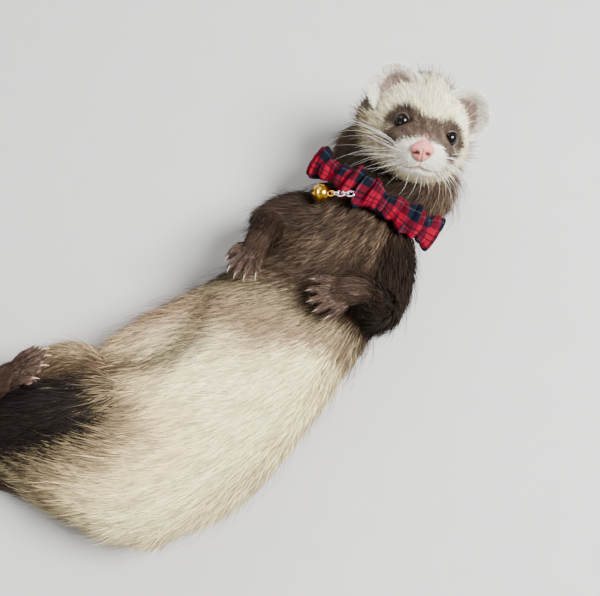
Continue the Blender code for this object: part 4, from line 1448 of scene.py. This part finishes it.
def coat_shades(tufts, rng):
    """The colour of each blade's corners: darker at its root, partly the underfur's own colour and partly
    painted shade deep in the coat, and dark at the tip of some.

    The markings are looked up a little off the root, so that their edges are ragged.
    """
    guard, kind = tufts["guard"], tufts["kind"]
    count = len(kind)
    off_head = ~np.isin(kind, ("head", "ear"))[:, None]
    spots = tufts["points"] + 2.2 * off_head * rng.normal(size=(count, 3))
    head = tufts["head"] + 0.35 * rng.normal(size=(count, 3))
    base, tips, _ = markings({**tufts, "points": spots, "head": head})
    spread = np.where(base.mean(1) < 0.12, 0.5, 0.2)
    base = base * np.exp(spread * rng.uniform(-1, 0.8, count))[:, None]
    paw = np.isin(kind, ("forepaw", "hindpaw"))
    base[paw] = base[paw] * np.exp(rng.uniform(-0.7, 0.8, paw.sum()))[:, None]
    dark_tip = (rng.uniform(size=count) < tips + 0.35 * guard * (tips > 0.04))[:, None]
    base = np.where(dark_tip & guard[:, None], base * 0.55, base)
    tip = np.where(dark_tip, base * 0.42, np.minimum(base * 1.08, 0.95))
    # Root corners: partly the underfur's colour, partly painted shade of the coat over its own roots.
    deep = base * (0.58 + 0.36 * step(0.1, 0.6, base.mean(1)))[:, None]
    between = 0.5 * (base + tip)
    return np.stack([deep, deep, base, base, between, between, tip], 1)


def make_coat(skin):
    """The coat: curved blades over the skin, some of them long guard hairs, in pieces by where they grow."""
    settings = sizes()
    roots, normals = tufts_on(skin, settings.coat_tufts)
    tufts = survey(roots)
    length, width, lift = coat_lengths(tufts)
    rng = np.random.default_rng(12)
    guard = (rng.uniform(size=len(roots)) < 0.10) & ~np.isin(tufts["kind"], ("ear", "forepaw", "hindpaw"))
    guard &= (tufts["kind"] != "head") | (tufts["head"][:, 2] > 20)
    length = length * settings.coat_length * np.where(guard, rng.uniform(1.35, 1.95, len(roots)), 1)
    width, lift = width * np.where(guard, 0.55, 1), lift * np.where(guard, 1.35, 1)
    tufts.update(normals=normals, guard=guard, length=length, width=width, lift=lift)
    keep = ~bare_places(roots, tufts)
    tufts = {name: values[keep] for name, values in tufts.items()}
    blades = coat_blades(tufts, rng)
    unwrap = chart(tufts)
    shades = coat_shades(tufts, rng)
    kind, row = tufts["kind"], tufts["row"]
    trunk = kind == "trunk"
    zones = {
        "coat_head": np.isin(kind, ("head", "ear")),
        "coat_neck_and_chest": trunk & (row < 7),
        "coat_belly": trunk & (row >= 7) & (row < 11.5),
        "coat_rump_and_tail": trunk & (row >= 11.5),
        "coat_forelegs": np.isin(kind, ("foreleg", "forepaw")),
        "coat_hindlegs": np.isin(kind, ("hindleg", "hindpaw")),
    }
    look = painted_material("coat", 0.6, 0.18, 2600.0, 0.0)
    order = rng.permutation(len(kind))
    for name, here in zones.items():
        chosen = order[here[order]]
        pieces = math.ceil(len(chosen) / MOST_TUFTS)
        for k in range(pieces):
            some = chosen[k::pieces]
            label = name if pieces == 1 else f"{name}_{k + 1}"
            coat_piece(label, blades[some], shades[some], unwrap[some], look)


def coat_piece(name, blades, shades, unwrap, look):
    """One piece of the coat: five triangles a blade, its colours, and its patch of the unwrap."""
    faces = (np.arange(len(blades))[:, None, None] * 7 + BLADE_FACES).reshape(-1, 3)
    made = mesh_object(name, blades.reshape(-1, 3), [faces], look)
    paint(made.data, shades.reshape(-1, 3))
    across = np.array([0, 1, 0, 1, 0.2, 0.8, 0.5]) * PATCH
    along = np.array([0, 0, 0.36, 0.36, 0.7, 0.7, 1.0]) * PATCH
    corners = (unwrap[:, None] + np.stack([across, along], -1)).reshape(-1, 2)
    layer = made.data.uv_layers.new(name="OFBake")
    layer.data.foreach_set("uv", corners[faces.ravel()].astype(np.float32).ravel())
    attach(made, "root")
    "fur_cream" if "head" in name or "belly" in name else "fur_sable"


def make_eyes():
    """Eyeballs with a slightly raised cornea, and lids as a roll of skin along the almond of the opening."""
    glossy = material("eye_gloss", (0.004, 0.0025, 0.002), 0.05)
    set_inputs(glossy.node_tree.nodes["Principled BSDF"], Specular_IOR_Level=0.28)
    rim = material("lid_rim", (0.07, 0.042, 0.035), 0.4, 0.0, 0.3, 2000.0, 0.3)

    def cornea(rays):
        """The unit ball at the eye's radius, a twentieth higher in front."""
        return rays * EYE_RADIUS * (1 + 0.05 * step(0.55, 1.0, rays[..., 2:3]))

    for side, mirror, centre in (("left", 1, EYES[0]), ("right", -1, EYES[1])):
        axes = eye_axes(mirror)
        eyeball = ball(centre, 1, axes, 40, 56, cornea)
        dressed(eyeball, "eyeball_" + side, glossy, ("eye_" + side,))
        turn = circle(96)
        x, y = LID_OPENING[0] * np.cos(turn), LID_OPENING[1] * np.sin(turn)
        x = x - 0.5 * mirror * bump(np.cos(turn), -mirror, 0.25)
        deep = np.sqrt(np.maximum(EYE_RADIUS**2 - x**2 - y**2, 0.5))
        edge = x[:, None] * axes[0] + y[:, None] * axes[1] + deep[:, None] * axes[2]
        out = ways(edge)
        over = np.cross(ways(np.roll(edge, -1, 0) - np.roll(edge, 1, 0)), out)
        section = circle(14)
        roll = 0.38 * np.cos(section)[:, None] * over[:, None]
        roll = roll + 0.34 * np.sin(section)[:, None] * out[:, None]
        rings = centre + (edge + out * 0.22)[:, None] + roll
        dressed(looped_grid(rings), "eyelids_" + side, rim)


def make_nose():
    """The nose: a low ball, narrower below, with a groove down it and two nostrils that curl outward."""

    def shape(rays):
        """The unit ball drawn in below, and sunk at the nostrils, their curls and the groove."""
        x, y, z = rays[..., 0], rays[..., 1], rays[..., 2]
        reach = 1 - 0.22 * np.abs(x) * step(0.05, -0.9, y) - 0.24 * np.abs(x) * step(0.2, 0.95, y)
        for mirror in (1, -1):
            reach -= 0.55 * bump(x * mirror, 0.47, 0.19) * bump(y, -0.16, 0.20) * (z > 0)
            reach -= 0.34 * bump(x * mirror, 0.78, 0.22) * bump(y, -0.34 + 0.1 * np.abs(x), 0.11) * (z > -0.3)
            reach += 0.06 * bump(x * mirror, 0.46, 0.34) * bump(y, 0.26, 0.25)
        reach -= 0.12 * bump(x, 0, 0.07) * (y < 0.3) * (z > -0.2)
        return rays * reach[..., None] * NOSE_RADII

    def tint(points):
        """Pink, with painted shade in the nostrils and down the groove."""
        x, y = (head_local(points)[:, :2] - NOSE_PLACE[:2]).T / np.array(NOSE_RADII[:2])[:, None]
        pink = np.repeat(np.array([[0.60, 0.235, 0.19]]), len(points), 0)
        for mirror in (1, -1):
            # Painted shade in each nostril and in the slit of its curl.
            nostril_shade = bump(x * mirror, 0.47, 0.20) * bump(y, -0.16, 0.20)
            curl = bump(x * mirror, 0.78, 0.2) * bump(y, -0.28, 0.11)
            pink = mixed(pink, 0.95 * np.clip(nostril_shade + 0.7 * curl, 0, 1), (0.07, 0.014, 0.012))
        return mixed(pink, 0.5 * bump(x, 0, 0.06) * (y < 0.3), (0.35, 0.09, 0.075))

    leather = painted_material("nose_leather", 0.36, 0.2, 1500.0, 0.5)
    set_inputs(leather.node_tree.nodes["Principled BSDF"], Subsurface_Weight=0.12, Subsurface_Scale=0.001)
    part = ball((0, 0, 0), NOSE_RADII, np.eye(3), 90, 96, shape)
    part = (head_points(part[0] * (1, 1, -1) + NOSE_PLACE), *part[1:])
    nose = dressed((part[0], *outward(*part)), "nose", leather)
    paint(nose.data, tint(part[0]))


def hairs(paths, thickness, sides=5):
    """Tapered round hairs along smooth paths, each a closed tube of a few sides."""
    made = []
    for path in paths:
        line = spline(path, 5)
        taper = np.linspace(1, 0.25, len(line))[:, None] * thickness * np.ones((1, 2))
        course = frames(line, unit(np.cross(path[-1] - path[0], (0.3, 0.5, 0.8))))
        made.append(tube(line, course, taper, sides, 1))
    return joined(made)


def make_whiskers():
    """Rows of whiskers on the lips' pads, and a few over each eye and on the chin, bending back and down."""
    rng = np.random.default_rng(21)
    paths = []
    longest = sizes().whisker_length / MM
    for mirror in (1, -1):
        for row in range(4):
            for k in range(5):
                start = np.array([(4.4 + 1.5 * k) * mirror, -1.2 - 1.7 * row + 0.4 * k, 3.6 + 1.9 * k])
                width, above, below = head_sizes(start[2])
                height = above if start[1] > 0 else below
                reach = math.hypot(start[0] / width, start[1] / height)
                start[:2] *= 0.94 / reach
                way = unit((mirror * (1.0 + 0.1 * k), -0.3 * row + 0.15 + rng.normal() * 0.2, 0.05 + 0.2 * k))
                long = longest * (0.35 + 0.14 * k + 0.2 * rng.uniform()) * (1 - 0.08 * row)
                sag = np.array([0, -0.2 - 0.1 * rng.uniform(), 0.2 + 0.3 * rng.uniform()]) * long
                paths.append([start, start + way * long * 0.5 + sag * 0.2, start + way * long * 0.85 + sag])
        for k in range(3):
            start = np.array([(9.5 + 1.6 * k) * mirror, 12.8 - 0.5 * k, 20.5 + k])
            way = unit((mirror * (0.35 + 0.3 * k), 0.85, -0.2))
            paths.append([start, start + way * 9, start + way * 16 + np.array([0, 1.0, 3.0])])
        for k in range(3):
            start = np.array([(2.0 + 2.2 * k) * mirror, -11.0, 9.0 + 2 * k])
            way = unit((mirror * 0.35 * k, -1.0, 0.3 * k))
            paths.append([start, start + way * 7, start + way * 12 + np.array([0, -1.0, 3.0])])
    paths = [head_points(np.array(path)) for path in paths]
    look = material("whisker", (0.86, 0.84, 0.80), 0.35, 0.0, 0.1, 600.0)
    dressed(hairs(paths, 0.075), "whiskers", look)


def make_claws():
    """Claws: tapered tubes that curve down; pads: low bare balls under the toes and the sole."""
    claws, pads = [], []
    for _, mirror, sole, back, scale in PAWS:
        toes = toes_of(sole, back, scale, mirror)
        for toe, claw, rise, way, across in toes:
            line = spline(claw, 8)
            taper = np.interp(np.linspace(0, 1, len(line)), (0, 0.5, 1), (1.0, 0.8, 0.16)) * CLAW_RADIUS
            claws.append(tube(line, frames(line, rise), taper[:, None] * np.array([[0.8, 1.05]]), 12, 3))
            spot = toe[-1] - way * 1.2 - rise * 1.15
            pads.append(ball(spot, (1.5, 1.1, 1.9), (across, rise, way), 12, 16))
        rise, way, across = toes[2][2:]
        heel = spline(sole, 3)[-2]
        for shift, size in ((-2.6, 2.1), (0, 2.5), (2.6, 2.1)):
            spot = heel[:3] + across * shift - rise * (heel[4] - 1.3) + way * (1.2 if shift == 0 else 0)
            pads.append(ball(spot, (size, 1.2, size * 0.9), (across, rise, way), 12, 16))
    claws, pads = joined(claws), joined(pads)
    for part in (claws, pads):
        part[0][:, 2] = np.maximum(part[0][:, 2], 0.15)
    horn = material("claw_horn", (0.46, 0.34, 0.27), 0.4, 0.0, 0.25, 700.0, 0.2)
    dressed(claws, "claws", horn)
    flesh = material("paw_pads", (0.20, 0.09, 0.07), 0.6, 0.0, 0.3, 1800.0, 0.6)
    dressed(pads, "paw_pads", flesh)


def collar_rings():
    """Rings of points round the collar: an oval section pinched into bunches, with folds and frilled rims."""
    axis = unit(COLLAR_AXIS)
    side = unit(np.cross(axis, UP))
    out = np.cross(side, axis)
    turn, section = circle(COLLAR_STEPS)[:, None], circle(COLLAR_SIDES)[None]
    rng = np.random.default_rng(31)
    wander = sum(np.sin(turn * k + rng.uniform(0, 6.28)) * rng.uniform(0.4, 1.0) for k in (2, 3, 5, 7))
    bunch = np.abs(np.sin(0.5 * COLLAR_BUNCHES * turn + 0.35 * wander + COLLAR_START)) ** 0.55
    outer = 0.5 * (1 + np.sin(section))
    rim = np.abs(np.cos(section)) ** 3
    phase = sizes().gathers * turn + 2.4 * wander + 0.6 * np.sin(2 * section)
    crest = np.abs(np.sin(phase / 2)) ** 0.6
    small = np.sin(sizes().gathers * 2.3 * turn + 2.0 * wander + section)
    frill = np.sin(21 * turn + 1.5 * wander + 0.9 * np.sign(np.cos(section)))
    puff = 4.4 + 4.6 * bunch + 0.3 * wander
    half = 3.8 + 4.0 * bunch + 0.35 * np.sin(4 * turn + 1.0)
    lift = 0.5 * puff * (1 + np.sin(section)) * (1 - 0.66 * (1 - crest) * outer + 0.05 * small * outer)
    drift = half * np.cos(section) * (1 + 0.17 * frill * rim - 0.14 * (1 - crest))
    drift = drift + 1.2 * np.sin(5 * turn + 0.6) * np.sin(section)
    lift = np.maximum(lift + 1.7 * frill * rim * bunch + 0.7 * rim, 0.1)
    ray = side * (np.cos(turn) * COLLAR_INNER[0])[..., None]
    ray = ray + out * (np.sin(turn) * COLLAR_INNER[1])[..., None]
    rings = np.asarray(COLLAR_PLACE) + ray + ways(ray) * lift[..., None] + axis * drift[..., None]
    rings[..., 2] = np.maximum(rings[..., 2], 0.3)
    return rings


def round_shares(index, count):
    """How far round a loop each corner of each quad is; a quad across the seam counts on to 1."""
    past = (index.max(1) - index.min(1) > 1)[:, None] & (index == 0)
    return (index + count * past).ravel() / count


def make_collar():
    """The collar: a ring of gathered cloth with a thin wall, mapped by its flat size in metres."""
    points, quads, _ = looped_grid(collar_rings())
    made = mesh_object("collar_cloth", points, [quads])
    u = round_shares(quads // COLLAR_SIDES, COLLAR_STEPS) * CLOTH_FLAT[0]
    v = round_shares(quads % COLLAR_SIDES, COLLAR_SIDES) * CLOTH_FLAT[1]
    layer = made.data.uv_layers.new(name="cloth")
    layer.data.foreach_set("uv", np.stack([u, v], -1).astype(np.float32).ravel())
    wall = made.modifiers.new("cloth", "SOLIDIFY")
    wall.thickness = 0.0004
    wall.offset = -1.0
    made.data.materials.append(plaid_cloth())
    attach(made, "root")
    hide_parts("collar")


def plaid_cloth():
    """Matt woven cotton: the plaid's colours, and its twill as a fine bump."""
    red, wine, dark, pale = (
        (*getattr(colours(), "cloth_" + name), 1.0) for name in ("red", "wine", "dark", "pale")
    )
    made = material("plaid_cloth", red[:3], 0.95)
    nodes, links = made.node_tree.nodes, made.node_tree.links
    weave = group_node(nodes, plaid_group(), Ground=red, Wine=wine, Band=dark, Line=pale, Repeat=0.015)
    soften = group_node(nodes, mottle_group(), Scale=700.0, Amount=0.3)
    links.new(weave.outputs["Colour"], soften.inputs["Colour"])
    links.new(soften.outputs["Colour"], nodes["Principled BSDF"].inputs["Base Color"])
    raised(made, weave.outputs["Height"], 0.4, 0.0001)
    set_inputs(nodes["Principled BSDF"], Specular_IOR_Level=0.1)
    return made


def link_ring(centre, along, across, half_length, half_width):
    """A long ring of round wire: two half circles and two straights."""
    along, across = unit(along), unit(across)
    normal = np.cross(along, across)
    turn, section = circle(LINK_STEPS) + math.pi / LINK_STEPS, circle(LINK_SIDES)
    shift = np.copysign(half_length - half_width, np.cos(turn))[:, None] * along
    way = np.cos(turn)[:, None] * along + np.sin(turn)[:, None] * across
    ring = np.cos(section)[:, None] * way[:, None] * LINK_WIRE + np.sin(section)[:, None] * normal * LINK_WIRE
    return looped_grid((np.asarray(centre) + shift + way * half_width)[:, None] + ring)


def make_bell():
    """The bell: a ball with a rolled rim round it and a slot with round ends, and the chain of wire links."""
    centre = np.asarray(BELL_PLACE, float)
    hang = unit(np.asarray(CHAIN_END) - centre)
    across = unit(np.cross(hang, UP))
    third = np.cross(hang, across)

    def shape(rays):
        """The bell's radius, more at the rim and less in the slot and its round ends."""
        x, y, z = rays[..., 0], rays[..., 1], rays[..., 2]
        reach = 1 + 0.075 * bump(z, 0, 0.055)
        slot = step(0.16, 0.11, np.abs(x)) * step(-0.45, -0.56, z)
        holes = step(0.24, 0.18, np.hypot(x, np.abs(y) - 0.64)) * (z < 0)
        reach = reach - 0.35 * np.maximum(slot, holes)
        return rays * (reach * BELL_RADIUS)[..., None]

    gold = material("bell_metal", colours().gold, 0.17, 1.0, 0.18, 500.0, 0.12)
    body = ball(centre, 1, (across, third, hang), 110, 150, shape)
    eye = link_ring(centre + hang * (BELL_RADIUS + 0.7), hang, across, 1.5, 1.15)
    dressed(joined([body, eye]), "bell_ball", gold, ("bell",))
    silver = material("chain_metal", colours().silver, 0.2, 1.0, 0.15, 900.0, 0.1)
    start = centre + hang * (BELL_RADIUS + 2.9)
    pitch = 2 * (LINK_HALF_LENGTH - LINK_WIRE) - 0.35
    links = []
    for k in range(CHAIN_LINKS):
        flat = third if k % 2 == 0 else across
        links.append(link_ring(start + hang * pitch * k, hang, flat, LINK_HALF_LENGTH, LINK_HALF_WIDTH))
    nodes = [f"chain_link_{k + 1}" for k in range(CHAIN_LINKS)]
    dressed(joined(links), "chain", silver, nodes)


def placed(name, data, spot, right, up, back):
    """A camera or light at a spot in metres, turned by its ways to the right, up and back."""
    made = bpy.data.objects.new(name, data)
    turned = Matrix([[*row] for row in np.stack([right, up, back], 1)]).to_4x4()
    made.matrix_world = Matrix.Translation(spot.tolist()) @ turned
    bpy.context.scene.collection.objects.link(made)
    return made


def make_stage():
    """A plain pale floor, soft studio lights and the camera."""
    corners = [(-3000, -3000, 0), (3000, -3000, 0), (3000, 3000, 0), (-3000, 3000, 0)]
    paint_look = material("floor_paint", (0.50, 0.49, 0.475), 0.85, 0.0, 0.03, 60.0)
    floor = mesh_object("floor", corners, [[(0, 1, 2, 3)]], paint_look, origin=0.0)
    turn, rise = math.radians(CAMERA_TURN), math.radians(CAMERA_RISE)
    right = np.array([math.cos(turn), math.sin(turn), 0])
    level = np.array([math.sin(turn), -math.cos(turn), 0])
    back = level * math.cos(rise) + np.array(UP) * math.sin(rise)
    spot = (np.asarray(CAMERA_TARGET) + back * CAMERA_DISTANCE) * MM + PLACE
    lens = bpy.data.cameras.new("camera")
    lens.lens = LENS
    lens.sensor_width = SENSOR
    lens.clip_start = 0.01
    bpy.context.scene.camera = placed("camera", lens, spot, right, np.cross(back, right), back)
    world = bpy.data.worlds.new("studio")
    world.use_nodes = True
    set_inputs(world.node_tree.nodes["Background"], Color=(0.95, 0.97, 1.0, 1.0), Strength=0.42)
    bpy.context.scene.world = world
    for name, way, distance, size, power in LIGHTS:
        lamp = bpy.data.lights.new(name, "AREA")
        lamp.shape = "DISK"
        lamp.size = size
        lamp.energy = power
        way = unit(way)
        side = unit(np.cross(UP, way))
        placed(name, lamp, way * distance, side, np.cross(way, side), way)


# Operators, panel and registration.


class FERRET_OT_skin_and_coat(bpy.types.Operator):
    """Makes the ferret's one skin and the coat that grows on it"""

    bl_idname = "ferret.skin_and_coat"
    bl_label = "Skin and coat"

    def execute(self, context):
        make_coat(make_skin())
        return {"FINISHED"}


class FERRET_OT_face(bpy.types.Operator):
    """Makes the eyes, lids, nose and whiskers"""

    bl_idname = "ferret.face"
    bl_label = "Eyes, nose and whiskers"

    def execute(self, context):
        make_eyes()
        make_nose()
        make_whiskers()
        return {"FINISHED"}


class FERRET_OT_claws(bpy.types.Operator):
    """Makes the claws and the bare pads of the paws"""

    bl_idname = "ferret.claws"
    bl_label = "Claws and pads"

    def execute(self, context):
        make_claws()
        return {"FINISHED"}


class FERRET_OT_collar(bpy.types.Operator):
    """Makes the gathered plaid collar"""

    bl_idname = "ferret.collar"
    bl_label = "Collar"

    def execute(self, context):
        make_collar()
        return {"FINISHED"}


class FERRET_OT_bell(bpy.types.Operator):
    """Makes the bell and its chain"""

    bl_idname = "ferret.bell"
    bl_label = "Bell and chain"

    def execute(self, context):
        make_bell()
        return {"FINISHED"}


class FERRET_OT_stage(bpy.types.Operator):
    """Makes the floor, the lights and the camera"""

    bl_idname = "ferret.stage"
    bl_label = "Stage"

    def execute(self, context):
        make_stage()
        return {"FINISHED"}


OPERATORS = (
    FERRET_OT_skin_and_coat,
    FERRET_OT_face,
    FERRET_OT_claws,
    FERRET_OT_collar,
    FERRET_OT_bell,
    FERRET_OT_stage,
)


class FERRET_PT_panel(bpy.types.Panel):
    """The ferret's sizes, colours and operators, in the sidebar"""

    bl_idname = "FERRET_PT_panel"
    bl_label = "Ferret"
    bl_space_type = "VIEW_3D"
    bl_region_type = "UI"
    bl_category = "Ferret"

    def draw(self, context):
        for group in (context.scene.ferret_sizes, context.scene.ferret_colours):
            for name in group.__annotations__:
                self.layout.prop(group, name)
        for item in OPERATORS:
            self.layout.operator(item.bl_idname)


CLASSES = (FerretSizes, FerretColours, *OPERATORS, FERRET_PT_panel)


def register():
    for item in CLASSES:
        bpy.utils.register_class(item)
    bpy.types.Scene.ferret_sizes = PointerProperty(type=FerretSizes)
    bpy.types.Scene.ferret_colours = PointerProperty(type=FerretColours)


def unregister():
    del bpy.types.Scene.ferret_colours
    del bpy.types.Scene.ferret_sizes
    for item in reversed(CLASSES):
        bpy.utils.unregister_class(item)


def main():
    """Registers the add-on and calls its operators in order."""
    register()
    bpy.ops.ferret.stage()
    bpy.ops.ferret.skin_and_coat()
    bpy.ops.ferret.face()
    bpy.ops.ferret.claws()
    bpy.ops.ferret.collar()
    bpy.ops.ferret.bell()


if __name__ == "__main__":
    main()
